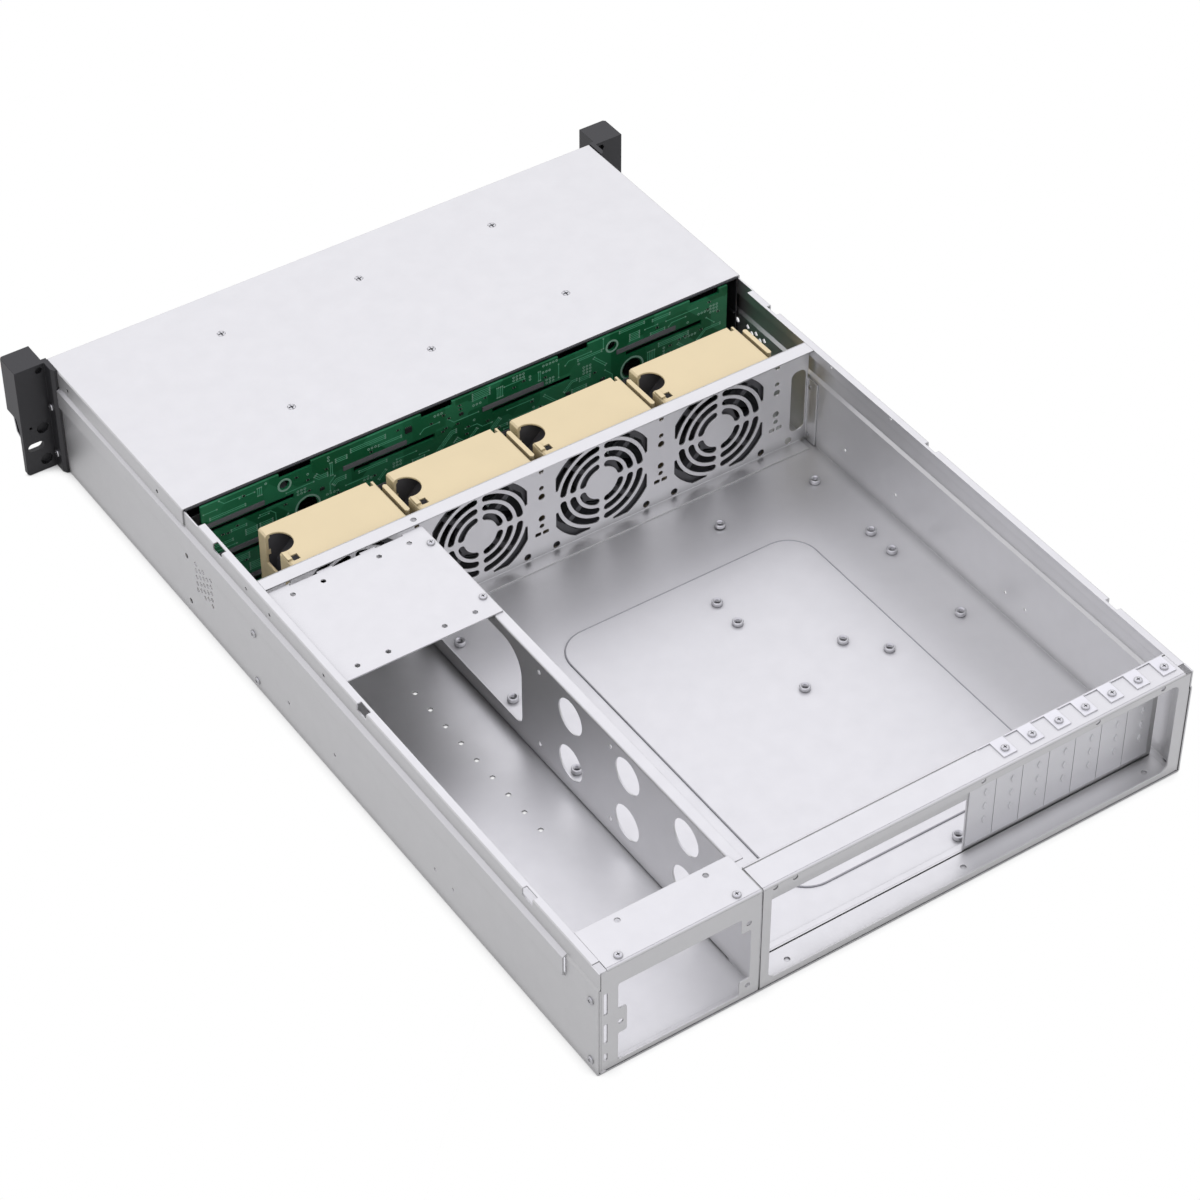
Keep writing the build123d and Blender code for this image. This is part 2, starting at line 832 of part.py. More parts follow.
# Fan housing, moulded, with a finger hole and a springy latch arm
fan_low = fan_height - fan_size / 2
fan_high = fan_height + fan_size / 2
housing_low = sheet + seat_gap
housing_high = fan_high + seat_gap + housing_top
housing_start = front + housing_front
housing_stop = wall_front - slide_gap
housing_side = housing_width / 2
bar_middle = -(housing_side + bar_gap + bar_thickness / 2)
with BuildPart() as housing:
    with BuildSketch(Plane.XZ.offset(-housing_stop)) as housing_section:
        with Locations((0, (housing_low + housing_high) / 2)):
            Rectangle(housing_width, housing_high - housing_low)
        chamfer(housing_section.vertices().group_by(Axis.Y)[-1], length=housing_round)
        inner_width = housing_width - 2 * housing_wall
        with Locations((0, fan_height + seat_gap / 2)):
            Rectangle(inner_width, fan_size + seat_gap, mode=Mode.SUBTRACT)
        with Locations((0, housing_low)):
            Rectangle(inner_width - 2 * housing_ledge, 2 * fan_low, mode=Mode.SUBTRACT)
    extrude(amount=housing_stop - housing_start)
    with BuildSketch(Plane.XY.offset(housing_high)):
        finger_x = housing_side - finger_side_wall - finger_inset
        with Locations((finger_x, front + finger_place)):
            RegularPolygon(radius=finger_radius, side_count=finger_sides)
        with Locations((finger_x + finger_inset + finger_radius, front + finger_place)):
            Rectangle(2 * finger_radius, 3 * finger_radius, mode=Mode.SUBTRACT)
        with Locations((housing_side - 2 * button_width, housing_stop - finger_radius)):
            Rectangle(button_hole, button_hole)
        with Locations((latch_notch / 2 - housing_side, housing_start + latch_notch / 2)):
            Rectangle(latch_notch, latch_notch)
    extrude(amount=-housing_top - seat_gap, mode=Mode.SUBTRACT)
    with BuildSketch(Plane.XY.offset(housing_high)):
        with Locations((housing_side - button_width / 2, housing_stop - finger_radius)):
            Rectangle(button_width, button_length)
    extrude(amount=button_height)
    with BuildSketch(Plane.XY.offset(bar_low)) as housing_bar:
        with Locations((bar_middle, front + (bar_start + bar_stop) / 2)):
            Rectangle(bar_thickness, bar_stop - bar_start)
        chamfer(housing_bar.vertices(), length=bar_thickness / 3)
    extrude(amount=housing_high - sheet - bar_low)
    with BuildSketch(Plane.XY.offset(bar_low)):
        with Locations(((bar_middle - housing_side) / 2, front + (bar_start + bar_stop) / 2)):
            Rectangle(-bar_middle - housing_side + housing_wall, bar_stop - bar_start - bar_web)
    extrude(amount=bar_web)

# Fan frame: two square flanges, a round duct, and the motor held by four arms
frame_start = housing_start + fan_set_back
frame_stop = frame_start + fan_depth
motor_face = frame_stop - motor_depth
hub_stop = motor_face - rotor_gap
hub_start = hub_stop - hub_depth
with BuildPart() as fan_frame:
    with BuildSketch(Plane.XZ.offset(-frame_stop)):
        with Locations((0, fan_height)):
            RegularPolygon(radius=duct_radius + duct_wall, side_count=duct_sides)
    extrude(amount=fan_depth)
    for flange_face in (frame_stop, frame_start + fan_flange):
        with BuildSketch(Plane.XZ.offset(-flange_face)) as flange:
            with Locations((0, fan_height)):
                Rectangle(fan_size, fan_size)
            chamfer(flange.vertices(), length=fan_corner)
        extrude(amount=fan_flange)
    with BuildSketch(Plane.XZ.offset(-frame_stop)):
        with Locations((0, fan_height)):
            RegularPolygon(radius=duct_radius, side_count=duct_sides)
    extrude(amount=fan_depth, mode=Mode.SUBTRACT)
    with BuildSketch(Plane.XZ.offset(-frame_stop)):
        with Locations((0, fan_height)):
            with PolarLocations((motor_radius + duct_radius) / 2, 4, start_angle=45):
                Rectangle(duct_radius - motor_radius + 2 * sheet, arm_width)
            RegularPolygon(radius=motor_radius, side_count=8)
    extrude(amount=motor_depth)
    with BuildSketch(Plane.XZ.offset(-motor_face)):
        with Locations((0, fan_height)):
            RegularPolygon(radius=shaft_radius, side_count=small_sides)
    extrude(amount=hub_depth / 2 + rotor_gap)

# Fan rotor: hub with slanted blades, bored for the shaft
blade_places = [turn * 360 / blade_count for turn in range(blade_count)]
blade_middle = (hub_start + hub_stop) / 2
blade_tip = duct_radius - blade_gap - duct_wall
slant = radians(blade_angle)
with BuildPart() as rotor:
    for angle in blade_places:
        outward = Vector(cos(radians(angle)), 0, sin(radians(angle)))
        along = Vector(0, cos(slant), 0) + Vector(0, 1, 0).cross(outward) * sin(slant)
        centre = Vector(0, blade_middle, fan_height)
        with BuildSketch(Plane(origin=centre, x_dir=outward, z_dir=outward.cross(along))):
            Polygon(
                (hub_radius - 3 * sheet, -0.3 * blade_chord),
                (blade_tip, -0.45 * blade_chord),
                (blade_tip, 0.4 * blade_chord),
                (hub_radius - 3 * sheet, 0.3 * blade_chord),
                align=None,
            )
        extrude(amount=blade_thickness / 2, both=True)
    with BuildSketch(Plane.XZ.offset(-hub_stop)):
        with Locations((0, fan_height)):
            RegularPolygon(radius=hub_radius, side_count=blade_count * 2)
    extrude(amount=hub_depth)
    with BuildSketch(Plane.XZ.offset(-hub_stop)):
        with Locations((0, fan_height)):
            RegularPolygon(radius=shaft_radius + shaft_gap, side_count=6, major_radius=False)
    extrude(amount=hub_depth / 2 + rotor_gap, mode=Mode.SUBTRACT)

for number, x in enumerate(fan_places, start=1):
    keep(Pos(x, 0, 0) * housing.part, f"fan_housing_{number}")
    keep(Pos(x, 0, 0) * fan_frame.part, f"fan_frame_{number}")
    keep(Pos(x, 0, 0) * rotor.part, f"fan_rotor_{number}")

# Divider between the power supply bay and the motherboard
divider_middle = divider_face - sheet / 2
rear_inside = rear - sheet
with BuildPart() as psu_divider:
    with BuildSketch(Plane.XZ.offset(-(front + divider_fold_stop))):
        fold(
            [
                (divider_face - divider_flange, divider_top - sheet / 2),
                (divider_middle, divider_top - sheet / 2),
                (divider_middle, 3 * sheet / 2),
                (divider_face - divider_foot, 3 * sheet / 2),
            ]
        )
    extrude(amount=divider_fold_stop - divider_start)
    with BuildSketch(Plane.XZ.offset(-(rear_inside - seat_gap))):
        with Locations((divider_middle, (divider_top + sheet) / 2)):
            Rectangle(sheet, divider_top - sheet)
    extrude(amount=rear_inside - seat_gap - (front + divider_fold_stop))
    with BuildSketch(Plane.YZ.offset(divider_middle)) as divider_cuts:
        with Locations((front + (gate_start + gate_stop) / 2, (gate_low + gate_high) / 2)):
            Rectangle(gate_stop - gate_start, gate_high - gate_low)
        corners = divider_cuts.vertices().sort_by(Axis.X)
        top_rear = corners[2:].sort_by(Axis.Y)[-1]
        fillet(top_rear, radius=gate_round)
        chamfer(
            divider_cuts.vertices().sort_by(Axis.X)[:2]
            + divider_cuts.vertices().sort_by(Axis.Y)[:2].sort_by(Axis.X)[-1:],
            length=gate_corner / 2,
        )
        for place in divider_hole_places:
            for height in divider_hole_heights:
                with Locations((front + place, height)):
                    RegularPolygon(radius=divider_hole_radius, side_count=divider_hole_sides)
        for place in divider_small_places:
            for height in divider_small_heights:
                with Locations((front + place, height)):
                    small_hole(divider_small_radius)
    extrude(amount=sheet, both=True, mode=Mode.SUBTRACT)
    with BuildSketch(Plane.XY.offset(divider_top)):
        for row in plate_screw_rows:
            with Locations((plate_edge + plate_screw_edge, front + plate_place + row)):
                small_hole(screw_radius + screw_gap)
    extrude(amount=-2 * sheet, mode=Mode.SUBTRACT)
keep(psu_divider.part, "psu_divider")

# Plate over the front of the power supply bay
plate_top = divider_top + sheet
plate_rear = front + plate_place + plate_length
with BuildPart() as psu_bay_plate:
    with BuildSketch(Plane.XZ.offset(-plate_rear)):
        fold(
            [
                (plate_edge, divider_top + sheet / 2),
                (cage_half - sheet / 2, divider_top + sheet / 2),
                (cage_half - sheet / 2, divider_top - plate_skirt),
            ]
        )
    extrude(amount=plate_length)
    with BuildSketch(Plane.XY.offset(plate_top)):
        for row in plate_hole_rows:
            for column in plate_hole_columns:
                with Locations((column, front + plate_place + row)):
                    small_hole(plate_hole_radius)
        for row in plate_screw_rows:
            with Locations((plate_edge + plate_screw_edge, front + plate_place + row)):
                small_hole(screw_radius + screw_gap)
        for column in plate_notch_columns:
            with Locations((column, front + plate_place)):
                Rectangle(plate_notch, 2 * plate_notch_depth)
    extrude(amount=-2 * sheet, mode=Mode.SUBTRACT)
keep(psu_bay_plate.part, "psu_bay_plate")

# Rear frame of the power supply bay, with its strip over the top
psu_edge = divider_face + seat_gap
strip_front = rear - strip_depth
rear_middle = rear - sheet / 2
with BuildPart() as rear_psu_frame:
    with BuildSketch(Plane.YZ.offset(psu_edge)):
        fold(
            [
                (rear - slot_wall_foot, 3 * sheet / 2),
                (rear_middle, 3 * sheet / 2),
                (rear_middle, flange_top - sheet / 2),
                (strip_front, flange_top - sheet / 2),
            ]
        )
    extrude(amount=flange_edge - seat_gap - psu_edge)
    with BuildSketch(Plane.XZ.offset(-rear)):
        with Locations(((psu_edge + cage_half) / 2, (sheet + wall_top) / 2)):
            Rectangle(cage_half - psu_edge, wall_top - sheet)
    extrude(amount=sheet)
    with BuildSketch(Plane.XY.offset(sheet + corner_gap)):
        fold(
            [
                (psu_edge, rear_middle),
                (end_middle, rear_middle),
                (end_middle, rear - 2 * rear_screw_inset),
            ]
        )
    extrude(amount=bead_high - bead_depth - sheet - 2 * corner_gap)
    with BuildSketch(Plane.XZ.offset(-rear)) as supply_cut:
        with Locations(((supply_left + supply_right) / 2, (supply_low + supply_high) / 2)):
            Rectangle(supply_left - supply_right, supply_high - supply_low)
        chamfer(supply_cut.vertices(), length=supply_corner / 2)
        with Locations((supply_left, (supply_tab_low + supply_tab_high) / 2)):
            Rectangle(
                2 * supply_tab_width, supply_tab_high - supply_tab_low, mode=Mode.SUBTRACT
            )
        with Locations((supply_right, (supply_notch_low + supply_notch_high) / 2)):
            Rectangle(2 * supply_notch_width, supply_notch_high - supply_notch_low)
        for x, z in supply_holes:
            with Locations((x, z)):
                small_hole(supply_hole_radius)
        for height, length in zip(key_slot_heights, key_slot_lengths):
            with Locations((key_slot_column, height)):
                Rectangle(key_slot_width, length)
    extrude(amount=2 * sheet, mode=Mode.SUBTRACT)
    with BuildSketch(Plane.XY.offset(flange_top)):
        for column in strip_hole_columns:
            with Locations((column, rear - strip_hole_inset)):
                small_hole(plate_hole_radius)
        for column in strip_screw_columns:
            with Locations((column, rear - strip_screw_inset)):
                small_hole(screw_radius + screw_gap)
    extrude(amount=-2 * sheet, mode=Mode.SUBTRACT)
    with BuildSketch(Plane.YZ.offset(half_width)):
        for height in rear_screw_heights:
            with Locations((rear - rear_screw_inset, height)):
                small_hole(screw_radius + screw_gap)
    extrude(amount=-3 * sheet, mode=Mode.SUBTRACT)
keep(rear_psu_frame.part, "rear_psu_frame")

# Rear input and output frame
frame_front = rear - frame_flange
with BuildPart() as rear_io_frame:
    with BuildSketch(Plane.YZ.offset(frame_edge)):
        fold(
            [
                (frame_front, 3 * sheet / 2),
                (rear_middle, 3 * sheet / 2),
                (rear_middle, flange_top - sheet / 2),
                (frame_front, flange_top - sheet / 2),
            ]
        )
    extrude(amount=-(frame_edge + flange_edge - seat_gap))
    with BuildSketch(Plane.XZ.offset(-rear)):
        with Locations(((frame_edge - cage_half) / 2, (sheet + wall_top) / 2)):
            Rectangle(cage_half + frame_edge, wall_top - sheet)
    extrude(amount=sheet)
    with BuildSketch(Plane.XY.offset(sheet + corner_gap)):
        fold(
            [
                (frame_edge, rear_middle),
                (-end_middle, rear_middle),
                (-end_middle, rear - 2 * rear_screw_inset),
            ]
        )
    extrude(amount=bead_high - bead_depth - sheet - 2 * corner_gap)
    with BuildSketch(Plane.XZ.offset(-rear)) as window_cut:
        with Locations(((window_left + window_right) / 2, (window_low + window_top) / 2)):
            Rectangle(window_left - window_right, window_top - window_low)
        chamfer(window_cut.vertices(), length=window_corner / 2)
        for x in frame_hole_columns:
            with Locations((x, frame_hole_height)):
                small_hole(frame_hole_radius)
    extrude(amount=2 * sheet, mode=Mode.SUBTRACT)
    with BuildSketch(Plane.XY):
        for column in ledge_hole_columns:
            with Locations((column, rear - ledge_hole_inset)):
                small_hole(plate_hole_radius)
    extrude(amount=4 * sheet, mode=Mode.SUBTRACT)
    slot_places = [
        shield_left - shield_width - slot_rib - slot_pitch * (slot + 0.5)
        for slot in range(slot_count)
    ]
    with BuildSketch(Plane.XY.offset(flange_top)):
        for x in slot_places:
            with Locations((x + tab_shift, rear - slot_screw_inset)):
                small_hole(screw_radius + screw_gap)
    extrude(amount=-2 * sheet, mode=Mode.SUBTRACT)
    with BuildSketch(Plane.YZ.offset(-half_width)):
        for height in rear_screw_heights:
            with Locations((rear - rear_screw_inset, height)):
                small_hole(screw_radius + screw_gap)
    extrude(amount=3 * sheet, mode=Mode.SUBTRACT)
keep(rear_io_frame.part, "rear_io_frame")

# Slot wall inside the rear frame: opening for the connector shield and the card slots
slot_face = rear - slot_wall_place
slot_middle = slot_face - sheet / 2
with BuildPart() as rear_slot_wall:
    with BuildSketch(Plane.YZ.offset(frame_edge)):
        fold(
            [
                (slot_face - slot_wall_foot, 3 * sheet / 2),
                (slot_middle, 3 * sheet / 2),
                (slot_middle, flange_top),
            ]
        )
    extrude(amount=-(frame_edge + flange_edge - seat_gap))
    with BuildSketch(Plane.XZ.offset(-slot_face)):
        with Locations(
            (shield_left - shield_width / 2, shield_low + shield_height / 2)
        ):
            Rectangle(shield_width, shield_height)
        for x in slot_places:
            with Locations((x, (slot_low + flange_top) / 2)):
                Rectangle(slot_opening, flange_top - slot_low - 4 * sheet)
    extrude(amount=2 * sheet, mode=Mode.SUBTRACT)
keep(rear_slot_wall.part, "rear_slot_wall")

# Slot covers: a folded strip over each card slot, its tab screwed to the frame's top flange
cover_face = slot_face + tab_thickness
cover_half = slot_pitch / 2 - slot_cover_gap
tab_top = flange_top + tab_thickness
with BuildPart() as slot_covers:
    for x in slot_places:
        with BuildSketch(Plane.XZ.offset(-cover_face)):
            Polygon(
                (x - cover_half, slot_low - tab_thickness),
                (x + cover_half, slot_low - tab_thickness),
                (x + cover_half, tab_top - cover_corner),
                (x + cover_half - cover_corner, tab_top),
                (x - cover_half, tab_top),
                align=None,
            )
        extrude(amount=tab_thickness)
        with BuildSketch(Plane.XY.offset(flange_top)):
            with Locations((x + tab_shift, slot_face + tab_length / 2)):
                Rectangle(tab_width, tab_length)
            with Locations((x + tab_shift, rear - slot_screw_inset)):
                RegularPolygon(
                    radius=screw_radius + screw_gap,
                    side_count=small_sides,
                    mode=Mode.SUBTRACT,
                )
        extrude(amount=tab_thickness)
        with BuildSketch(Plane.XZ.offset(-cover_face)):
            for height in slot_vent_heights:
                with Locations((x + slot_vent_shift, height)):
                    Polygon(
                        (slot_vent_width / 2, 0),
                        (0, slot_vent_length / 2),
                        (-slot_vent_width / 2, 0),
                        (0, -slot_vent_length / 2),
                        align=None,
                    )
        extrude(amount=-slot_vent_rise)
keep(slot_covers.part, "slot_covers")

# Motherboard standoffs: short round posts with threaded bores, on the floor or its raised part
row_far = board_rear_gap + slot_wall_place
rows = [rear - row_far - offset for offset in (0, grid_middle, grid_front, grid_extra, grid_far)]
left_column, middle_column, right_column = grid_columns
board_grid = [(x, y) for x in (left_column, middle_column) for y in rows[1:3]]
standoff_spots = [
    *board_grid,
    (left_column, rows[3]),
    (left_column, rows[4]),
    (middle_column, rows[0]),
    (middle_column, rows[3]),
    (right_column, rows[3]),
    (right_column, rows[4]),
    *[(x, front + place) for x, place in standoff_extras],
]
standoff_top = sheet + raised_height + standoff_height
with BuildPart() as board_standoffs:
    for x, y in standoff_spots:
        raised = raised_right < x < raised_left and y < front + raised_stop
        base_height = sheet + (raised_height if raised else 0)
        with BuildSketch(Plane.XY.offset(base_height)):
            with Locations((x, y)):
                RegularPolygon(radius=standoff_radius, side_count=8)
        extrude(amount=standoff_top - base_height)
    with BuildSketch(Plane.XY.offset(standoff_top)):
        for x, y in standoff_spots:
            with Locations((x, y)):
                if (x, y) in board_grid:
                    Circle(standoff_bore)
                else:
                    small_hole(standoff_bore)
    extrude(amount=-standoff_top, mode=Mode.SUBTRACT)
keep(board_standoffs.part, "board_standoffs")

# Rack ear for the +X side: plate, leg along the side wall, and the handle block
ear_face = front + ear_rear_face
ear_front = ear_face - ear_plate
ear_top = ear_low + ear_height
ear_leg_rear = front + ear_leg_length
with BuildPart() as ear:
    with BuildSketch(Plane.YZ.offset(handle_inner)):
        with BuildLine():
            Polyline(
                (front - handle_reach, ear_top),
                (front - handle_reach, handle_low),
                (front - handle_step, handle_low),
                (ear_face - sheet, handle_taper_low),
                (ear_face - sheet, ear_top),
                close=True,
            )
        make_face()
    extrude(amount=ear_half_width - handle_inner)
    outer_edge = ear.edges().filter_by(Axis.Z).sort_by(Axis.Y)[:2].sort_by(Axis.X)[-1]
    chamfer(outer_edge, length=ear_corner / 2)
    with BuildSketch(Plane.XZ.offset(-ear_face)) as ear_outline:
        with Locations(((half_width + ear_half_width) / 2, (ear_low + ear_top) / 2)):
            Rectangle(ear_half_width - half_width, ear_height)
        low_corner = ear_outline.vertices().sort_by(Axis.Y)[:2].sort_by(Axis.X)[-1]
        chamfer(low_corner, length=ear_corner / 2)
        with Locations((rack_slot_column, rack_slot_height)):
            SlotOverall(rack_slot_length, rack_slot_width, mode=Mode.SUBTRACT)
    extrude(amount=ear_plate)
    with BuildSketch(Plane.XY.offset(ear_low)):
        with BuildLine():
            Polyline(
                (half_width, ear_front),
                (half_width, ear_leg_rear),
                (half_width + ear_leg_thickness / 2, ear_leg_rear),
                (half_width + ear_leg_thickness, ear_leg_rear - ear_corner),
                (half_width + ear_leg_thickness, ear_front),
                close=True,
            )
        make_face()
    extrude(amount=ear_height)
    with BuildSketch(Plane.XZ.offset(-ear_face)):
        for height in ear_pocket_heights:
            with Locations((ear_pocket_column, height)):
                RegularPolygon(radius=ear_pocket_radius, side_count=8)
        with Locations((ear_hole_column, ear_hole_height)):
            small_hole(ear_hole_radius)
        with Locations((ear_pin_column, ear_pin_height)):
            small_hole(ear_pin_radius)
    extrude(amount=ear_pocket_depth, mode=Mode.SUBTRACT)
    with BuildSketch(Plane.YZ.offset(half_width + ear_leg_thickness)):
        for height in ear_screw_heights:
            with Locations((front + ear_screw_place, height)):
                small_hole(screw_radius + screw_gap)
    extrude(amount=-ear_leg_thickness, mode=Mode.SUBTRACT)

button_face = Plane.XZ.offset(handle_reach - front)
with BuildPart() as ear_right:
    add(ear.part)
    with BuildSketch(button_face):
        with Locations((button_column, button_place)):
            RegularPolygon(radius=button_radius + shaft_gap, side_count=10)
    extrude(amount=-button_pocket, mode=Mode.SUBTRACT)
keep(ear_right.part, "ear_right")

with BuildPart() as ear_left:
    add(mirror(ear.part, about=Plane.YZ, mode=Mode.PRIVATE))
    with BuildSketch(button_face):
        for height in light_places:
            with Locations((-button_column, height)):
                small_hole(light_radius + shaft_gap)
    extrude(amount=-light_depth, mode=Mode.SUBTRACT)
keep(ear_left.part, "ear_left")

with BuildPart() as power_button:
    with BuildSketch(button_face):
        with Locations((button_column, button_place)):
            RegularPolygon(radius=button_radius, side_count=10)
    extrude(amount=button_reach)
    extrude(
        power_button.faces().sort_by(Axis.Y)[-1],
        amount=button_pocket - button_travel - shaft_gap,
    )
keep(power_button.part, "power_button")

with BuildPart() as status_lights:
    with BuildSketch(button_face):
        for height in light_places:
            with Locations((-button_column, height)):
                small_hole(light_radius)
    extrude(amount=-light_depth)
keep(status_lights.part, "status_lights")

# Bright curved strip below each handle
with BuildPart() as trim:
    with BuildSketch(Plane.YZ.offset(ear_half_width - sheet)):
        Polygon(
            (front - trim_top, handle_low),
            (front - trim_bend[0], trim_bend[1]),
            (ear_front, trim_low),
            (ear_front, trim_low + trim_thickness),
            (front - trim_bend[0] + trim_thickness, trim_bend[1] + trim_thickness),
            (front - trim_top + trim_thickness, handle_low),
            align=None,
        )
    extrude(amount=-trim_width)
keep(Compound([trim.part, mirror(trim.part, about=Plane.YZ)]), "ear_trims")

# Screws
cover_screw = flat_screw(4 * sheet)
keep(
    Compound([Pos(x, y, body_height) * cover_screw for x, y in cover_screw_spots]),
    "cover_screws",
)
side_screw = screw(side_screw_length)
ear_screw = screw(ear_leg_thickness + sheet)
side_screw_spots = [(front + wall_screw_place, height) for height in wall_screw_heights]
side_screw_spots += [(rear - rear_screw_inset, height) for height in rear_screw_heights]
ear_screw_spots = [(front + ear_screw_place, height) for height in ear_screw_heights]
side_screws = []
ear_screws = []
for side in (-1, 1):
    turned = Rot(0, side * 90, 0) * Rot(0, 0, 90)
    for y, z in side_screw_spots:
        side_screws.append(Pos(side * half_width, y, z) * turned * side_screw)
    for y, z in ear_screw_spots:
        outside = side * (half_width + ear_leg_thickness)
        ear_screws.append(Pos(outside, y, z) * turned * ear_screw)
keep(Compound(side_screws), "side_screws")
keep(Compound(ear_screws), "ear_screws")
plate_screw_spots = [
    (plate_edge + plate_screw_edge, front + plate_place + row, plate_top)
    for row in plate_screw_rows
]
plate_screw_spots += [
    (column, rear - strip_screw_inset, flange_top) for column in strip_screw_columns
]
top_screw = screw(2 * sheet)
keep(Compound([Pos(*spot) * top_screw for spot in plate_screw_spots]), "psu_bay_screws")
slot_screw = screw(tab_thickness + 2 * sheet)
keep(
    Compound(
        [Pos(x + tab_shift, rear - slot_screw_inset, tab_top) * slot_screw for x in slot_places]
    ),
    "slot_screws",
)
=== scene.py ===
import math
import random

import bmesh
import bpy
from mathutils import Matrix, Vector


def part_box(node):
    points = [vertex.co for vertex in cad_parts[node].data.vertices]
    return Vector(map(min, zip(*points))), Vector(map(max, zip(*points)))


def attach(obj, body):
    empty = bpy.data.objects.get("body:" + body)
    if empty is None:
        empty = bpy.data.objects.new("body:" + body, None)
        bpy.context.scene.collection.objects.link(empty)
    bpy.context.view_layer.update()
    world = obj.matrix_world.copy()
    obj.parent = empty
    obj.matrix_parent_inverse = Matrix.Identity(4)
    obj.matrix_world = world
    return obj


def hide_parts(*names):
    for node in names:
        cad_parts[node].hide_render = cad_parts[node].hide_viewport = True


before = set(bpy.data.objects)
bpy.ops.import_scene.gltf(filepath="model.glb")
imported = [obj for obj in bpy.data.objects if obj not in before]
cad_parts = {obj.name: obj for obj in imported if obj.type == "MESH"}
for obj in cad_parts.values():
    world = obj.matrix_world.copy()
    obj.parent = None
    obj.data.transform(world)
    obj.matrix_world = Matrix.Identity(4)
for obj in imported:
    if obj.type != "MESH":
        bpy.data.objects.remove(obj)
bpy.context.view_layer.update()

bl_info = {
    "name": "Rackmount server case",
    "version": (1, 0, 0),
    "blender": (4, 5, 0),
    "location": "View3D > Sidebar > Server case",
    "description": "Finishes, fine parts and studio for an open rackmount server case",
    "category": "Object",
}

MM = 0.001
BODY_REAR = 324.0
SHEET = 1.0
BEND_STEPS = 4
ARC_STEPS = 14
SCREW_SIDES = 24
UPRIGHT_X = Matrix(((1, 0, 0, 0), (0, 0, -1, 0), (0, 1, 0, 0), (0, 0, 0, 1)))
UPRIGHT_Y = Matrix(((0, 0, 1, 0), (1, 0, 0, 0), (0, 1, 0, 0), (0, 0, 0, 1)))
ALONG_Y = Matrix(((1, 0, 0, 0), (0, 0, 1, 0), (0, 1, 0, 0), (0, 0, 0, 1)))
FLAT = Matrix.Identity(4)

SHEET_NODES = ("base_tray", "front_cover", "psu_bay_plate", "rear_slot_wall")
CAGE_NODES = ("cage_walls", "cage_top")
SIDE_SCREW_NODES = ("side_screws", "ear_screws")
PAN_SCREW_NODES = (*SIDE_SCREW_NODES, "psu_bay_screws", "slot_screws")

RAISED_FLOOR = (-152.0, 42.0, 15.0, 278.0)

# The fan wall and its grilles
FAN_PITCH = 94.0
FAN_HEIGHT = 42.0
SLOT_RADII = (15.2, 22.8, 30.4)
SLOT_HALF = 2.5
SPOKE_HALF = 4.2
WALL_HOLES = ((73.9, 1.8), (59.9, 1.8), (52.6, 2.5), (34.1, 2.5), (27.6, 1.8))

# The board: bays and rows of drives, holes as x, z and radius, and the cells that keep its
# traces apart
BAY_PLACES = (-159.975, -53.325, 53.325, 159.975)
ROW_LEVELS = (1.9, 29.7, 57.5)
BOARD_HOLES = ((143.4, 74.8, 3.6), (-109.5, 74.8, 3.6), (127.6, 49.0, 8.0), (-125.9, 49.0, 8.0))
SOCKET_PLACES = (-120.0, -20.0, 80.0)
PART_SIZES = ((5.0, 4.0, 1.0), (2.4, 5.0, 1.8), (3.0, 1.6, 0.9), (1.6, 0.9, 0.5))
BOARD_SEED = 7
CELL = 0.8
LEG_PITCH = 1.2
VIA_PITCH = 2.6
TRACE_PITCH = 1.4
TRACE_TRIES = 3600
PART_TRIES = 150
VIA_TRIES = 500

# The studio: the camera solved from the photograph, and the lamps as place, size and power
CAMERA_PLACE = (944.4, 1401.4, 1565.1)
CAMERA_AZIMUTH = 145.874
CAMERA_ELEVATION = 42.670
FOCAL_PIXELS = 3569.2
PHOTO_PIXELS = 1200
SENSOR_WIDTH = 36.0
LAMPS = (
    ("soft_box_far", (-1.0, -1.9, 2.3), 3.0, 7.0),
    ("soft_box_side", (2.0, 0.6, 1.8), 1.6, 1.6),
)
# How strongly metal and glass see the white of floor and world, which the camera sees at 1
MIRRORED_WHITE = 0.36


# Small helpers


def linear(hex_colour):
    """Turns an sRGB hex colour to the linear colour that a shader takes."""
    parts = [int(hex_colour[place : place + 2], 16) / 255 for place in (1, 3, 5)]
    return tuple(p / 12.92 if p <= 0.04045 else ((p + 0.055) / 1.055) ** 2.4 for p in parts) + (1,)


def add(tree, kind, settings=None, values=None, links=None):
    """Adds one shader node, with its settings, input values and incoming links."""
    node = tree.nodes.new(kind)
    for name, value in (settings or {}).items():
        setattr(node, name, value)
    for name, value in (values or {}).items():
        node.inputs[name].default_value = value
    for name, socket in (links or {}).items():
        tree.links.new(socket, node.inputs[name])
    return node


def new_material(name):
    """An empty node material with its shader and output, and the object's own coordinates."""
    material = bpy.data.materials.new(name)
    material.use_nodes = True
    tree = material.node_tree
    tree.nodes.clear()
    shader = add(tree, "ShaderNodeBsdfPrincipled")
    add(tree, "ShaderNodeOutputMaterial", links={"Surface": shader.outputs["BSDF"]})
    place = add(tree, "ShaderNodeTexCoord").outputs["Object"]
    return material, tree, shader, place


def dress(node, material):
    """Gives a CAD node's every material slot one finish."""
    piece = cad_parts[node]
    if not piece.material_slots:
        piece.data.materials.append(material)
    for slot in piece.material_slots:
        slot.material = material


def new_piece(name, mesh_maker, material, body, replaces=()):
    """Makes a mesh piece from a bmesh, in place, and lets it ride on its body."""
    mesh = bpy.data.meshes.new(name)
    mesh_maker.to_mesh(mesh)
    mesh_maker.free()
    mesh.materials.append(material)
    piece = bpy.data.objects.new(name, mesh)
    bpy.context.scene.collection.objects.link(piece)
    if replaces:
        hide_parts(*replaces)
    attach(piece, body)
    return piece


def in_mm(corners):
    """Corners given in metres, as vectors in mm."""
    return [Vector(corner) / MM for corner in corners]


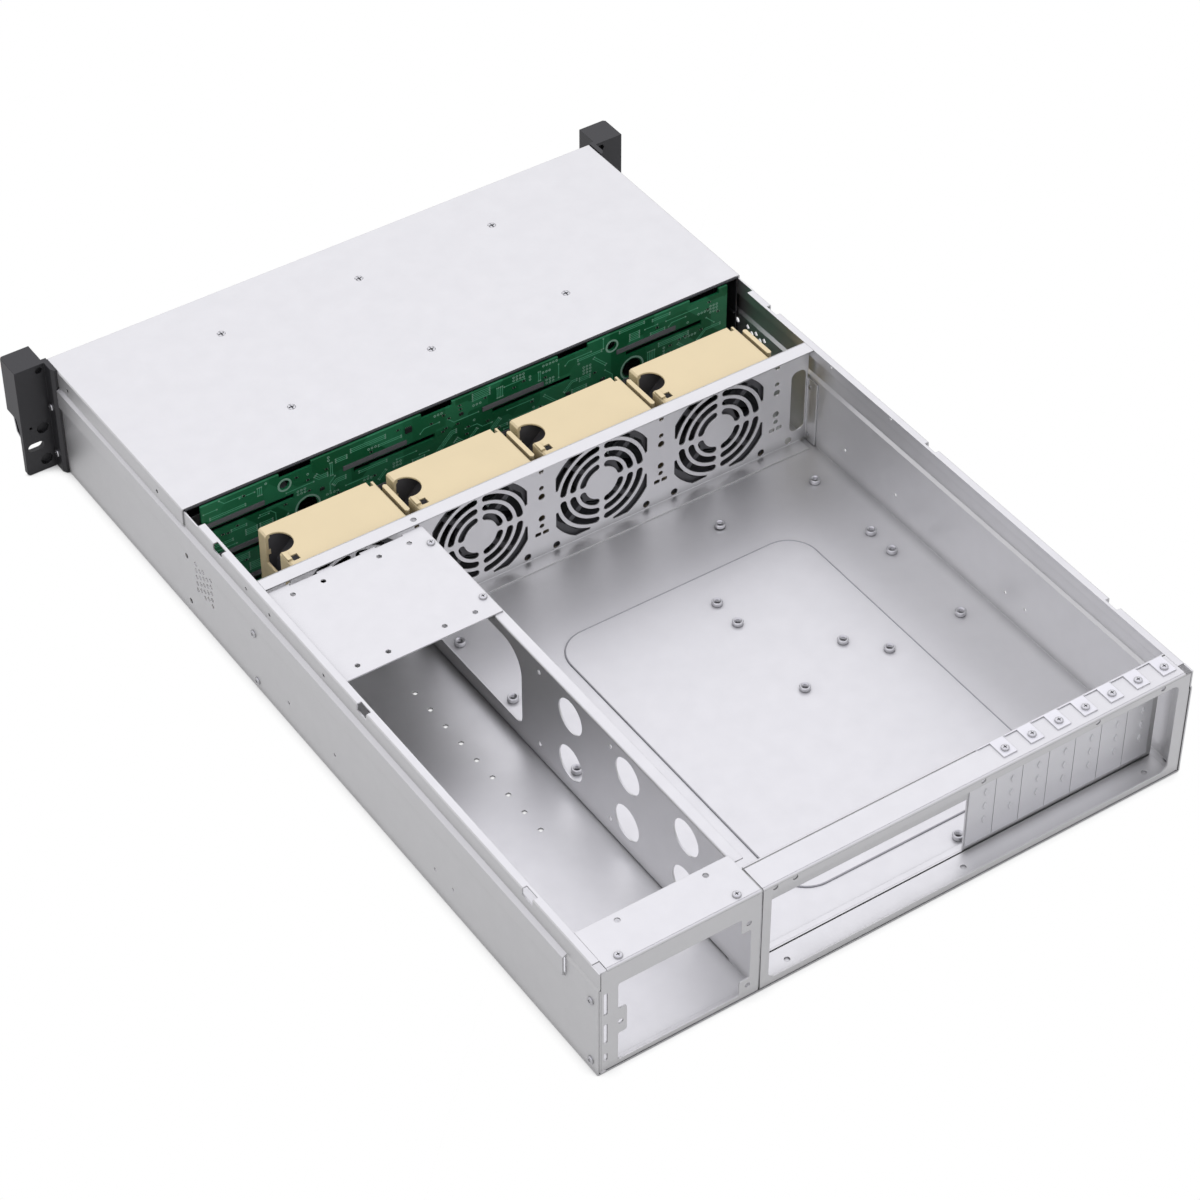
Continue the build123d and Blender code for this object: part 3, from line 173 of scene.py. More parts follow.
def loose_boxes(node):
    """Lowest and highest corner of each separate solid of a CAD node."""
    mesh = bmesh.new()
    mesh.from_mesh(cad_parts[node].data)
    bmesh.ops.remove_doubles(mesh, verts=mesh.verts, dist=0.002 * MM)
    mesh.verts.ensure_lookup_table()
    seen, found = set(), []
    for start in mesh.verts:
        if start in seen:
            continue
        group, waiting = [], [start]
        seen.add(start)
        while waiting:
            vert = waiting.pop()
            group.append(vert.co.copy())
            for edge in vert.link_edges:
                other = edge.other_vert(vert)
                if other not in seen:
                    seen.add(other)
                    waiting.append(other)
        low = Vector(min(c[axis] for c in group) for axis in range(3))
        high = Vector(max(c[axis] for c in group) for axis in range(3))
        found.append((low, high))
    mesh.free()
    return sorted(found, key=lambda pair: tuple(pair[0]))


# Finishes


def painted_crevice_shade(tree, colour, reach_mm, floor):
    """Painted shade: darkens a colour by ambient occlusion in folds and gaps, where little light
    reaches.
    """
    open_air = add(
        tree, "ShaderNodeAmbientOcclusion", {"samples": 2}, {"Distance": reach_mm * MM}
    )
    level = add(
        tree,
        "ShaderNodeMapRange",
        values={"From Min": 0.1, "From Max": 0.75, "To Min": floor, "To Max": 1.0},
        links={"Value": open_air.outputs["AO"]},
    )
    shaded = add(
        tree,
        "ShaderNodeVectorMath",
        {"operation": "SCALE"},
        links={"Vector": colour, "Scale": level.outputs["Result"]},
    )
    return shaded.outputs["Vector"]


def sheet_finish(name, tone, roughness, painted_shade_floor=0.42):
    """Zinc-coated steel sheet: a satin metal with a faint cloudy spangle, and painted shade in its
    folds and gaps.
    """
    material, tree, shader, place = new_material(name)
    spangle = add(
        tree,
        "ShaderNodeTexNoise",
        values={"Scale": 1 / (14 * MM), "Detail": 4.0, "Roughness": 0.6},
        links={"Vector": place},
    )
    tint = add(
        tree,
        "ShaderNodeMix",
        {"data_type": "RGBA"},
        links={"Factor": spangle.outputs["Fac"]},
    )
    tint.inputs["A"].default_value = linear(tone)
    tint.inputs["B"].default_value = tuple(c * 0.95 for c in linear(tone)[:3]) + (1,)
    spread = add(
        tree,
        "ShaderNodeMapRange",
        values={"To Min": roughness - 0.03, "To Max": roughness + 0.05},
        links={"Value": spangle.outputs["Fac"]},
    )
    grain = add(
        tree,
        "ShaderNodeTexNoise",
        values={"Scale": 1 / (0.9 * MM), "Detail": 2.0},
        links={"Vector": place},
    )
    rounded = add(tree, "ShaderNodeBevel", {"samples": 4}, {"Radius": 0.45 * MM})
    bump = add(
        tree,
        "ShaderNodeBump",
        values={"Strength": 0.05, "Distance": 0.05 * MM},
        links={"Height": grain.outputs["Fac"], "Normal": rounded.outputs["Normal"]},
    )
    shader.inputs["Metallic"].default_value = 1.0
    # Painted shade: the base colour is darkened in folds and gaps within 9 mm.
    shaded = painted_crevice_shade(tree, tint.outputs["Result"], 9.0, painted_shade_floor)
    tree.links.new(shaded, shader.inputs["Base Color"])
    tree.links.new(spread.outputs["Result"], shader.inputs["Roughness"])
    tree.links.new(bump.outputs["Normal"], shader.inputs["Normal"])
    return material


def plated_finish(name, tone, roughness):
    """Bright plated steel or tinned copper: smooth metal with fine turning marks, and painted shade
    in its recesses.
    """
    material, tree, shader, place = new_material(name)
    marks = add(
        tree,
        "ShaderNodeTexNoise",
        values={"Scale": 1 / (0.6 * MM), "Detail": 3.0},
        links={"Vector": place},
    )
    spread = add(
        tree,
        "ShaderNodeMapRange",
        values={"To Min": roughness - 0.05, "To Max": roughness + 0.08},
        links={"Value": marks.outputs["Fac"]},
    )
    shader.inputs["Metallic"].default_value = 1.0
    tint = add(tree, "ShaderNodeRGB")
    tint.outputs["Color"].default_value = linear(tone)
    # Painted shade: the colour drops to 0.15 in recesses and gaps within 2 mm.
    shaded = painted_crevice_shade(tree, tint.outputs["Color"], 2.0, 0.15)
    tree.links.new(shaded, shader.inputs["Base Color"])
    tree.links.new(spread.outputs["Result"], shader.inputs["Roughness"])
    return material


def moulded_finish(name, tone, roughness, grain_mm, depth_mm, edge_mm, painted_shade_floor=0.3):
    """Moulded plastic or powder coat: even colour with a fine grain and softened edges, and painted
    shade in folds and gaps.
    """
    material, tree, shader, place = new_material(name)
    grain = add(
        tree,
        "ShaderNodeTexNoise",
        values={"Scale": 1 / (grain_mm * MM), "Detail": 3.0},
        links={"Vector": place},
    )
    cloud = add(
        tree,
        "ShaderNodeTexNoise",
        values={"Scale": 1 / (25 * MM), "Detail": 2.0},
        links={"Vector": place},
    )
    tint = add(
        tree,
        "ShaderNodeMix",
        {"data_type": "RGBA"},
        links={"Factor": cloud.outputs["Fac"]},
    )
    tint.inputs["A"].default_value = linear(tone)
    tint.inputs["B"].default_value = tuple(c * 0.93 for c in linear(tone)[:3]) + (1,)
    rounded = add(tree, "ShaderNodeBevel", {"samples": 4}, {"Radius": edge_mm * MM})
    bump = add(
        tree,
        "ShaderNodeBump",
        values={"Strength": 0.35, "Distance": depth_mm * MM},
        links={"Height": grain.outputs["Fac"], "Normal": rounded.outputs["Normal"]},
    )
    spread = add(
        tree,
        "ShaderNodeMapRange",
        values={"To Min": roughness - 0.04, "To Max": roughness + 0.06},
        links={"Value": grain.outputs["Fac"]},
    )
    # Painted shade: the colour is darkened in folds and gaps within 14 mm.
    shaded = painted_crevice_shade(tree, tint.outputs["Result"], 14.0, painted_shade_floor)
    tree.links.new(shaded, shader.inputs["Base Color"])
    tree.links.new(spread.outputs["Result"], shader.inputs["Roughness"])
    tree.links.new(bump.outputs["Normal"], shader.inputs["Normal"])
    return material


def board_finish(name, tone, copper_tone):
    """Green solder mask: glossy, and lighter over broad areas of copper."""
    material, tree, shader, place = new_material(name)
    pours = add(
        tree,
        "ShaderNodeTexVoronoi",
        {"distance": "CHEBYCHEV"},
        {"Scale": 1 / (26 * MM), "Randomness": 0.8},
        {"Vector": place},
    )
    chosen = add(tree, "ShaderNodeSeparateColor", links={"Color": pours.outputs["Color"]})
    share = add(
        tree,
        "ShaderNodeMapRange",
        {"interpolation_type": "STEPPED"},
        {"Steps": 3.0, "To Max": 0.6},
        {"Value": chosen.outputs["Red"]},
    )
    tint = add(
        tree,
        "ShaderNodeMix",
        {"data_type": "RGBA"},
        links={"Factor": share.outputs["Result"]},
    )
    tint.inputs["A"].default_value = linear(tone)
    tint.inputs["B"].default_value = linear(copper_tone)
    weave = add(
        tree,
        "ShaderNodeTexNoise",
        values={"Scale": 1 / (1.2 * MM), "Detail": 2.0},
        links={"Vector": place},
    )
    bump = add(
        tree,
        "ShaderNodeBump",
        values={"Strength": 0.15, "Distance": 0.03 * MM},
        links={"Height": weave.outputs["Fac"]},
    )
    shader.inputs["Roughness"].default_value = 0.32
    tree.links.new(tint.outputs["Result"], shader.inputs["Base Color"])
    tree.links.new(bump.outputs["Normal"], shader.inputs["Normal"])
    return material


def lens_finish(name, tone):
    """Clear polycarbonate light pipe."""
    material, tree, shader, place = new_material(name)
    haze = add(
        tree,
        "ShaderNodeTexNoise",
        values={"Scale": 1 / (0.8 * MM), "Detail": 2.0},
        links={"Vector": place},
    )
    spread = add(
        tree,
        "ShaderNodeMapRange",
        values={"To Min": 0.12, "To Max": 0.22},
        links={"Value": haze.outputs["Fac"]},
    )
    shader.inputs["Base Color"].default_value = linear(tone)
    shader.inputs["Transmission Weight"].default_value = 0.6
    shader.inputs["IOR"].default_value = 1.58
    tree.links.new(spread.outputs["Result"], shader.inputs["Roughness"])
    return material


# Shapes


def ring_of(mesh, matrix, radius, height, sides):
    """One ring of points round the local Z axis."""
    turns = (side * math.tau / sides for side in range(sides))
    return [
        mesh.verts.new(matrix @ Vector((radius * math.cos(t), radius * math.sin(t), height)))
        for t in turns
    ]


def join_rings(mesh, lower, upper):
    """Faces between two rings with the same number of points."""
    count = len(lower)
    for side in range(count):
        following = (side + 1) % count
        mesh.faces.new((lower[side], lower[following], upper[following], upper[side]))


def add_screw(mesh, matrix, head_radius, head_height, shank_radius, shank_length, flat):
    """A cross recess screw. The head's underside, or a flat head's top, is at the origin."""
    if flat:
        rings = [(head_radius, 0.0)]
        foot = (shank_radius, shank_radius - head_radius)
        face_radius, face_height = head_radius * 0.94, 0.0
    else:
        rings = head_profile(head_radius, head_height)
        foot = (head_radius, 0.0)
        face_radius, face_height = head_radius * 0.62, head_height
    top = ring_of(mesh, matrix, face_radius, face_height, SCREW_SIDES)
    last = top
    for radius, height in reversed(rings):
        ring = ring_of(mesh, matrix, radius, height, SCREW_SIDES)
        join_rings(mesh, ring, last)
        last = ring
    collar = ring_of(mesh, matrix, *foot, SCREW_SIDES)
    join_rings(mesh, collar, last)
    if not flat:
        neck = collar
        collar = ring_of(mesh, matrix, shank_radius, foot[1], SCREW_SIDES)
        join_rings(mesh, collar, neck)
    tip = ring_of(mesh, matrix, shank_radius, -shank_length, SCREW_SIDES)
    join_rings(mesh, tip, collar)
    mesh.faces.new(tip)
    cross = cross_ring(mesh, matrix, face_radius, face_height)
    edges = loop_edges(mesh, top) + loop_edges(mesh, cross)
    bmesh.ops.triangle_fill(mesh, use_beauty=True, edges=edges)
    floor = cross_ring(mesh, matrix, face_radius * 0.55, face_height - head_height * 0.75)
    join_rings(mesh, cross, floor)
    mesh.faces.new(list(reversed(floor)))


def head_profile(radius, height):
    """Rounded shoulder of a pan head, from its rim to its face."""
    shares = ((1.0, 0.02), (1.0, 0.45), (0.93, 0.78), (0.80, 0.94))
    return [(radius * wide, height * high) for wide, high in shares]


def cross_ring(mesh, matrix, face_radius, height):
    """Outline of the cross recess: twelve points, four arms."""
    arm, half = face_radius * 0.82, face_radius * 0.17
    points = []
    for turn in range(4):
        spin = Matrix.Rotation(turn * math.pi / 2, 3, "Z")
        for x, y in ((arm, -half), (arm, half), (half, half)):
            points.append(spin @ Vector((x, y, height)))
    return [mesh.verts.new(matrix @ point) for point in points]


def loop_edges(mesh, ring):
    """The edges of a closed loop, made where they are missing."""
    edges = []
    for one, two in zip(ring, ring[1:] + ring[:1]):
        edges.append(mesh.edges.get((one, two)) or mesh.edges.new((one, two)))
    return edges


def corner_points(corner, back, ahead, radius, steps):
    """Points of a quarter circle that rounds a square corner, between its two directions."""
    centre = corner + (back + ahead) * radius
    turns = (math.pi / 2 * step / steps for step in range(steps + 1))
    return [centre - ahead * radius * math.cos(t) - back * radius * math.sin(t) for t in turns]


def folded_section(points):
    """Closed outline of a sheet folded square, with bends as round as it is thick, in mm."""
    line = [Vector(points[0])]
    for before, corner, after in zip(points, points[1:], points[2:]):
        corner = Vector(corner)
        back = (Vector(before) - corner).normalized()
        ahead = (Vector(after) - corner).normalized()
        line += corner_points(corner, back, ahead, SHEET, BEND_STEPS)
    line.append(Vector(points[-1]))
    left, right = [], []
    for place, point in enumerate(line):
        ahead = line[min(place + 1, len(line) - 1)] - line[max(place - 1, 0)]
        side = Vector((-ahead.y, ahead.x)).normalized() * SHEET / 2
        left.append(point + side)
        right.append(point - side)
    return left + right[::-1]


def sweep(mesh, points, matrix, start, stop):
    """A sheet folded through points in mm, carried along its local Z axis, with closed ends."""
    section = folded_section(points)
    rings = [
        [mesh.verts.new(matrix @ (Vector((point.x, point.y, place)) * MM)) for point in section]
        for place in (start, stop)
    ]
    join_rings(mesh, rings[0], rings[1])
    mesh.faces.new(rings[0][::-1])
    mesh.faces.new(rings[1])


def punched_plate(mesh, loops, matrix, across):
    """A plate with holes, in mm. The first loop is its outline, and across is its middle."""
    curve = bpy.data.curves.new("plate_outline", "CURVE")
    curve.dimensions = "2D"
    curve.fill_mode = "BOTH"
    curve.extrude = SHEET / 2
    for loop in loops:
        spline = curve.splines.new("POLY")
        spline.points.add(len(loop) - 1)
        for point, place in zip(spline.points, loop):
            point.co = (place[0], place[1], 0, 1)
        spline.use_cyclic_u = True
    holder = bpy.data.objects.new("plate_outline", curve)
    plate = bpy.data.meshes.new_from_object(holder)
    plate.transform(matrix @ Matrix.Scale(MM, 4) @ Matrix.Translation((0, 0, across)))
    mesh.from_mesh(plate)
    bpy.data.meshes.remove(plate)
    bpy.data.objects.remove(holder)
    bpy.data.curves.remove(curve)


def disc(x, y, radius, sides=20):
    """Points of a round hole."""
    turns = (math.tau * side / sides for side in range(sides))
    return [(x + radius * math.cos(turn), y + radius * math.sin(turn)) for turn in turns]


def box_loop(low_x, high_x, low_y, high_y):
    """Corners of a rectangle, anticlockwise."""
    return [(low_x, low_y), (high_x, low_y), (high_x, high_y), (low_x, high_y)]


def rounded(points, radii, steps=5):
    """A loop with each corner rounded by its own radius, or all by one."""
    radii = radii if isinstance(radii, (list, tuple)) else [radii] * len(points)
    found = []
    for place, corner in enumerate(points):
        corner = Vector(corner)
        back = (Vector(points[place - 1]) - corner).normalized()
        ahead = (Vector(points[(place + 1) % len(points)]) - corner).normalized()
        found += corner_points(corner, back, ahead, radii[place], steps)
    return found


def arc_slot(x, y, radius, start, stop, half):
    """A curved slot with round ends between two angles in degrees."""
    shares = (step / ARC_STEPS for step in range(ARC_STEPS + 1))
    turns = [math.radians(start + (stop - start) * share) for share in shares]
    loop = []
    for way, reach in ((1, radius - half), (-1, radius + half)):
        loop += [(x + reach * math.cos(t), y + reach * math.sin(t)) for t in turns[::way]]
        loop += slot_end(x, y, radius, turns[::way][-1], half, way)
    return loop


def slot_end(x, y, radius, turn, half, way):
    """Points of a slot's round end, from its inner side for way 1, from its outer for -1."""
    outward = Vector((math.cos(turn), math.sin(turn)))
    along = Vector((-math.sin(turn), math.cos(turn))) * way
    middle = Vector((x, y)) + outward * radius
    found = []
    for step in range(1, 6):
        lean = math.pi * step / 6
        found.append(middle - outward * way * half * math.cos(lean) + along * half * math.sin(lean))
    return found


# Properties


class CaseSettings(bpy.types.PropertyGroup):
    """Colours and sizes that a user would change."""

    sheet_colour: bpy.props.StringProperty(
        name="Sheet", description="Zinc-coated sheet, as sRGB hex", default="#EAEAEA"
    )
    sheet_roughness: bpy.props.FloatProperty(
        name="Sheet roughness", description="How satin the sheet is", default=0.42, min=0, max=1
    )
    screw_colour: bpy.props.StringProperty(
        name="Screws", description="Plated screws, as sRGB hex", default="#D2D2D4"
    )
    board_colour: bpy.props.StringProperty(
        name="Board", description="Solder mask, as sRGB hex", default="#17683F"
    )
    trace_colour: bpy.props.StringProperty(
        name="Traces", description="Copper seen through the mask, as sRGB hex", default="#3C9468"
    )
    housing_colour: bpy.props.StringProperty(
        name="Fan housings", description="Cream moulding, as sRGB hex", default="#FFECBD"
    )
    ear_colour: bpy.props.StringProperty(
        name="Rack ears", description="Charcoal coat, as sRGB hex", default="#343436"
    )
    fan_colour: bpy.props.StringProperty(
        name="Fans", description="Dark fan mouldings, as sRGB hex", default="#58585B"
    )
    trace_width: bpy.props.FloatProperty(
        name="Trace width", description="Width of the traces", default=0.55 * MM, unit="LENGTH"
    )


# Operators


class CASE_OT_sheets(bpy.types.Operator):
    """Finish the folded sheets of the case"""

    bl_idname = "server_case.sheets"
    bl_label = "Sheets"

    def execute(self, context):
        look = context.scene.server_case
        sheet = sheet_finish("zinc_coated_sheet", look.sheet_colour, look.sheet_roughness)
        for node in SHEET_NODES:
            dress(node, sheet)
        dress("slot_covers", sheet_finish("bright_slot_covers", "#FBFBFD", 0.6, 0.7))
        inner = sheet_finish("dark_inner_sheet", "#66676B", 0.5)
        for node in CAGE_NODES:
            dress(node, inner)
        return {"FINISHED"}


class CASE_OT_fan_wall(bpy.types.Operator):
    """Punch the fan wall: four grilles, rows of holes, cable openings and folded edges"""

    bl_idname = "server_case.fan_wall"
    bl_label = "Fan wall"

    def execute(self, context):
        look = context.scene.server_case
        low, high = in_mm(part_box("fan_wall"))
        middle, edge, top = low.y + SHEET / 2, high.y, high.z - SHEET / 2
        reach = high.x - SHEET / 2
        half = [(reach - 1, 2.5), (reach - 1, 54.0), (reach - 0.6, 54.0), (reach - 0.6, top - 1)]
        loops = [half + [(-x, height) for x, height in reversed(half)]]
        for fan in range(4):
            loops += grille_loops((fan - 1.5) * FAN_PITCH, FAN_HEIGHT)
        for column in range(-2, 3):
            x = column * FAN_PITCH
            loops += [disc(x, height, radius, 14) for height, radius in WALL_HOLES]
            for side in (-1, 1):
                latch = x + side * 2.95
                loops.append(rounded(box_loop(latch - 2.3, latch + 2.3, 19.8, 22.8), 0.8, 2))
                loops.append(disc(x + side * 11.3, 5.8, 2.7, 16))
        for side in (-1, 1):
            x = side * (reach - 8.4)
            loops.append(rounded(box_loop(x - 6, x + 6, 12.0, 63.5), 5.0))
        mesh = bmesh.new()
        punched_plate(mesh, loops, UPRIGHT_X, -middle)
        shoulder = reach - 5.1
        foot = [(edge, 1.5), (middle, 1.5), (middle, 2.5)]
        sweep(mesh, foot, UPRIGHT_Y, -shoulder, shoulder)
        corner = [(middle, top - 1), (middle, top), (middle + 1, top)]
        sweep(mesh, corner, UPRIGHT_Y, -shoulder, shoulder)
        flange = [box_loop(-shoulder, shoulder, middle + 1, edge), disc(99.5, middle + 6.1, 2.0)]
        punched_plate(mesh, flange, FLAT, top)
        for side in (-1, 1):
            ends = [(side * reach, edge), (side * reach, middle), (side * (reach - 1), middle)]
            sweep(mesh, ends, FLAT, 1.5, 54.0)
        finish = sheet_finish("punched_wall_sheet", look.sheet_colour, look.sheet_roughness)
        new_piece("fan_wall_detail", mesh, finish, "case", ("fan_wall",))
        return {"FINISHED"}


def grille_loops(x, y):
    """Openings of one fan grille: three rings of slots and four corner cuts, in mm."""
    loops = []
    for quarter in range(4):
        for radius in SLOT_RADII:
            spoke = math.degrees(math.asin(SPOKE_HALF / radius))
            start = quarter * 90 + spoke
            loops.append(arc_slot(x, y, radius, start, start + 90 - 2 * spoke, SLOT_HALF))
        ring, square, corner = 35.5, 36.0, 41.5
        low = math.degrees(math.asin(9.0 / ring))
        points = []
        for step in range(13):
            turn = math.radians(90 - low + (2 * low - 90) * step / 12)
            points.append((ring * math.cos(turn), ring * math.sin(turn)))
        points.append((square, square * math.tan(math.radians(low))))
        for step in range(7):
            first = math.acos(square / corner)
            turn = first + (math.pi / 2 - 2 * first) * step / 6
            points.append((corner * math.cos(turn), corner * math.sin(turn)))
        points.append((square * math.tan(math.radians(low)), square))
        spin = Matrix.Rotation(quarter * math.pi / 2, 2)
        loops.append([spin @ Vector(point) + Vector((x, y)) for point in points])
    return loops


class CASE_OT_divider(bpy.types.Operator):
    """Punch the power supply divider: cable gate, six round holes and folded edges"""

    bl_idname = "server_case.divider"
    bl_label = "Divider"

    def execute(self, context):
        look = context.scene.server_case
        low, high = in_mm(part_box("psu_divider"))
        middle, front, rear, top = high.x - SHEET / 2, low.y, high.y, high.z
        fold_stop = 295.0
        outline = [(front, 2.5), (fold_stop, 2.5), (fold_stop, low.z), (rear, low.z)]
        outline += [(rear, top), (fold_stop, top), (fold_stop, top - 1.5), (front, top - 1.5)]
        gate = rounded(box_loop(-28.0, 76.0, 13.5, 75.0), [7.0, 7.0, 20.0, 7.0], 8)
        loops = [outline, gate]
        loops += [disc(y, z, 12.6, 40) for y in (129.5, 189.9, 249.9) for z in (25.2, 64.6)]
        loops += [disc(y, z, 1.7, 14) for y in (95.8, 172.5) for z in (13.9, 75.0)]
        mesh = bmesh.new()
        punched_plate(mesh, loops, UPRIGHT_Y, middle)
        flange = [(middle, top - 1.5), (middle, top - 0.5), (low.x, top - 0.5)]
        foot = [(low.x + 1.5, 1.5), (middle, 1.5), (middle, 2.5)]
        sweep(mesh, flange, ALONG_Y, front, fold_stop)
        sweep(mesh, foot, ALONG_Y, front, fold_stop)
        finish = sheet_finish("divider_sheet", look.sheet_colour, look.sheet_roughness)
        new_piece("psu_divider_detail", mesh, finish, "case", ("psu_divider",))
        return {"FINISHED"}


class CASE_OT_rear_frames(bpy.types.Operator):
    """Punch the two rear frames, with rounded openings and folded edges"""

    bl_idname = "server_case.rear_frames"
    bl_label = "Rear frames"

    def execute(self, context):
        look = context.scene.server_case
        finish = sheet_finish("rear_frame_sheet", look.sheet_colour, look.sheet_roughness)
        supply = [(117.6, 5.5), (202.0, 5.5), (202.0, 28.5), (196.0, 28.5), (196.0, 48.8)]
        supply += [(202.0, 48.8), (202.0, 70.0), (117.6, 70.0), (117.6, 58.0)]
        supply += [(110.6, 58.0), (110.6, 17.0), (117.6, 17.0)]
        supply_loops = [rounded(supply, 1.6)]
        supply_loops += [disc(x, z, 1.9) for x, z in ((112.4, 64.2), (111.8, 11.3), (200.2, 37.5))]
        for height, length in ((13.0, 6.0), (33.0, 16.0), (58.0, 18.0)):
            slot = box_loop(209.1, 211.7, height - length / 2, height + length / 2)
            supply_loops.append(rounded(slot, 0.6, 2))
        window_loops = [rounded(box_loop(-205.0, 97.0, 7.0, 79.5), 5.0)]
        window_loops += [disc(x, 83.2, 1.9, 14) for x in (94.6, 80.7, -55.0, -141.4, -191.9)]
        strip_holes = [disc(x, 296.5, 1.9) for x in (123.6, 184.0)]
        ledge_holes = [disc(x, 314.3, 1.9) for x in (76.0, -54.7, -195.8)]
        for node, loops, top_holes, foot_holes in (
            ("rear_psu_frame", supply_loops, strip_holes, []),
            ("rear_io_frame", window_loops, [], ledge_holes),
        ):
            low, high = in_mm(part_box(node))
            side = 1 if node == "rear_psu_frame" else -1
            inner = low.x if side > 0 else high.x
            outer = side * 214.4
            shoulder = outer - side * 5.1
            middle, top, front = high.y - SHEET / 2, high.z - SHEET / 2, low.y
            mesh = bmesh.new()
            face = box_loop(*sorted((inner, outer - side)), 2.5, top - 1)
            punched_plate(mesh, [face, *loops], UPRIGHT_X, -middle)
            span = sorted((inner, shoulder))
            foot_front = 318.5 if side > 0 else front
            plate = [box_loop(*span, foot_front, middle - 1), *foot_holes]
            punched_plate(mesh, plate, FLAT, 1.5)
            plate = [box_loop(*span, front, middle - 1), *top_holes]
            punched_plate(mesh, plate, FLAT, top)
            foot = [(middle - 1, 1.5), (middle, 1.5), (middle, 2.5)]
            sweep(mesh, foot, UPRIGHT_Y, *span)
            corner = [(middle, top - 1), (middle, top), (middle - 1, top)]
            sweep(mesh, corner, UPRIGHT_Y, *span)
            ends = [(outer, 311.0), (outer, middle), (outer - side, middle)]
            sweep(mesh, ends, FLAT, 1.5, 71.0)
            new_piece(f"{node}_detail", mesh, finish, "case", (node,))
        return {"FINISHED"}


class CASE_OT_small_sheet(bpy.types.Operator):
    """Add the standoffs and the pressed line round the raised floor"""

    bl_idname = "server_case.small_sheet"
    bl_label = "Small sheet parts"

    def execute(self, context):
        look = context.scene.server_case
        plated = plated_finish("plated_standoff", look.screw_colour, 0.3)
        mesh = bmesh.new()
        for low, high in loose_boxes("board_standoffs"):
            add_standoff(mesh, (low + high) / 2, low.z, high.z)
        replaced = ("board_standoffs",)
        new_piece("board_standoffs_detail", mesh, plated, "case", replaced)
        # Painted shade: the pressed line gets a darker sheet tone, standing in for the shade along
        # its step.
        sheet = sheet_finish("pressed_line_painted_shade", "#B4B4B8", look.sheet_roughness)
        mesh = bmesh.new()
        add_pressed_line(mesh)
        new_piece("raised_floor_line", mesh, sheet, "case")
        return {"FINISHED"}


def add_standoff(mesh, centre, foot, top):
    """A short round post with a threaded bore, turned about its own axis."""
    matrix = Matrix.Translation((centre.x, centre.y, 0))
    bore, crest = 2.3 * MM, 1.9 * MM
    profile = [(3.3, foot), (3.7, foot + 0.2 * MM), (3.7, top - 0.4 * MM), (3.3, top), (2.75, top)]
    profile = [(radius * MM, height) for radius, height in profile]
    height = top - 0.35 * MM
    profile.append((bore, height))
    while height > foot + 0.7 * MM:
        profile += [(crest, height - 0.3 * MM), (bore, height - 0.6 * MM)]
        height -= 0.6 * MM
    profile.append((crest, foot + 0.05 * MM))
    rings = [ring_of(mesh, matrix, radius, level, 28) for radius, level in profile]
    for outer, inner in zip(rings, rings[1:]):
        join_rings(mesh, outer, inner)
    join_rings(mesh, rings[-1], rings[0])


def add_pressed_line(mesh):
    """A slim rounded rib along the edge of the raised floor."""
    path = rounded(box_loop(*RAISED_FLOOR), 22.0, 10)
    rings = []
    for place, point in enumerate(path):
        ahead = (path[(place + 1) % len(path)] - path[place - 1]).normalized()
        side = Vector((ahead.y, -ahead.x))
        ring = []
        for out, lift in ((0.45, 1.0), (0.45, 1.45), (0.15, 1.75), (-0.3, 1.75), (-0.6, 1.6)):
            spot = point + side * out
            ring.append(mesh.verts.new(Vector((spot.x, spot.y, lift)) * MM))
        rings.append(ring)
    for one, two in zip(rings, rings[1:] + rings[:1]):
        join_rings(mesh, one, two)


class CASE_OT_screws(bpy.types.Operator):
    """Make the cross recess screws"""

    bl_idname = "server_case.screws"
    bl_label = "Screws"

    def execute(self, context):
        look = context.scene.server_case
        plated = plated_finish("zinc_plated_screw", look.screw_colour, 0.25)
        for node in PAN_SCREW_NODES:
            mesh = bmesh.new()
            for low, high in loose_boxes(node):
                add_pan_screw(mesh, low, high, node in SIDE_SCREW_NODES)
            new_piece(f"{node}_detail", mesh, plated, "case", (node,))
        mesh = bmesh.new()
        for low, high in loose_boxes("cover_screws"):
            centre = (low + high) / 2
            matrix = Matrix.Translation((centre.x, centre.y, high.z))
            head = (high.x - low.x) / 2
            add_screw(mesh, matrix, head, 1.4 * MM, 1.5 * MM, high.z - low.z, True)
        new_piece("cover_screws_detail", mesh, plated, "case", ("cover_screws",))
        return {"FINISHED"}


def add_pan_screw(mesh, low, high, sideways):
    """A pan head screw in the place of one CAD screw: down, or into a side wall."""
    size, centre = high - low, (low + high) / 2
    head_height, shank = 1.3 * MM, 1.5 * MM
    if sideways:
        side = 1 if centre.x > 0 else -1
        outside = high.x if side > 0 else low.x
        turn = Matrix.Rotation(side * math.pi / 2, 4, "Y")
        place = (outside - side * head_height, centre.y, centre.z)
        matrix = Matrix.Translation(place) @ turn
        head, length = size.y / 2, size.x - head_height
    else:
        matrix = Matrix.Translation((centre.x, centre.y, high.z - head_height))
        head, length = size.x / 2, size.z - head_height
    add_screw(mesh, matrix, head, head_height, shank, length, False)


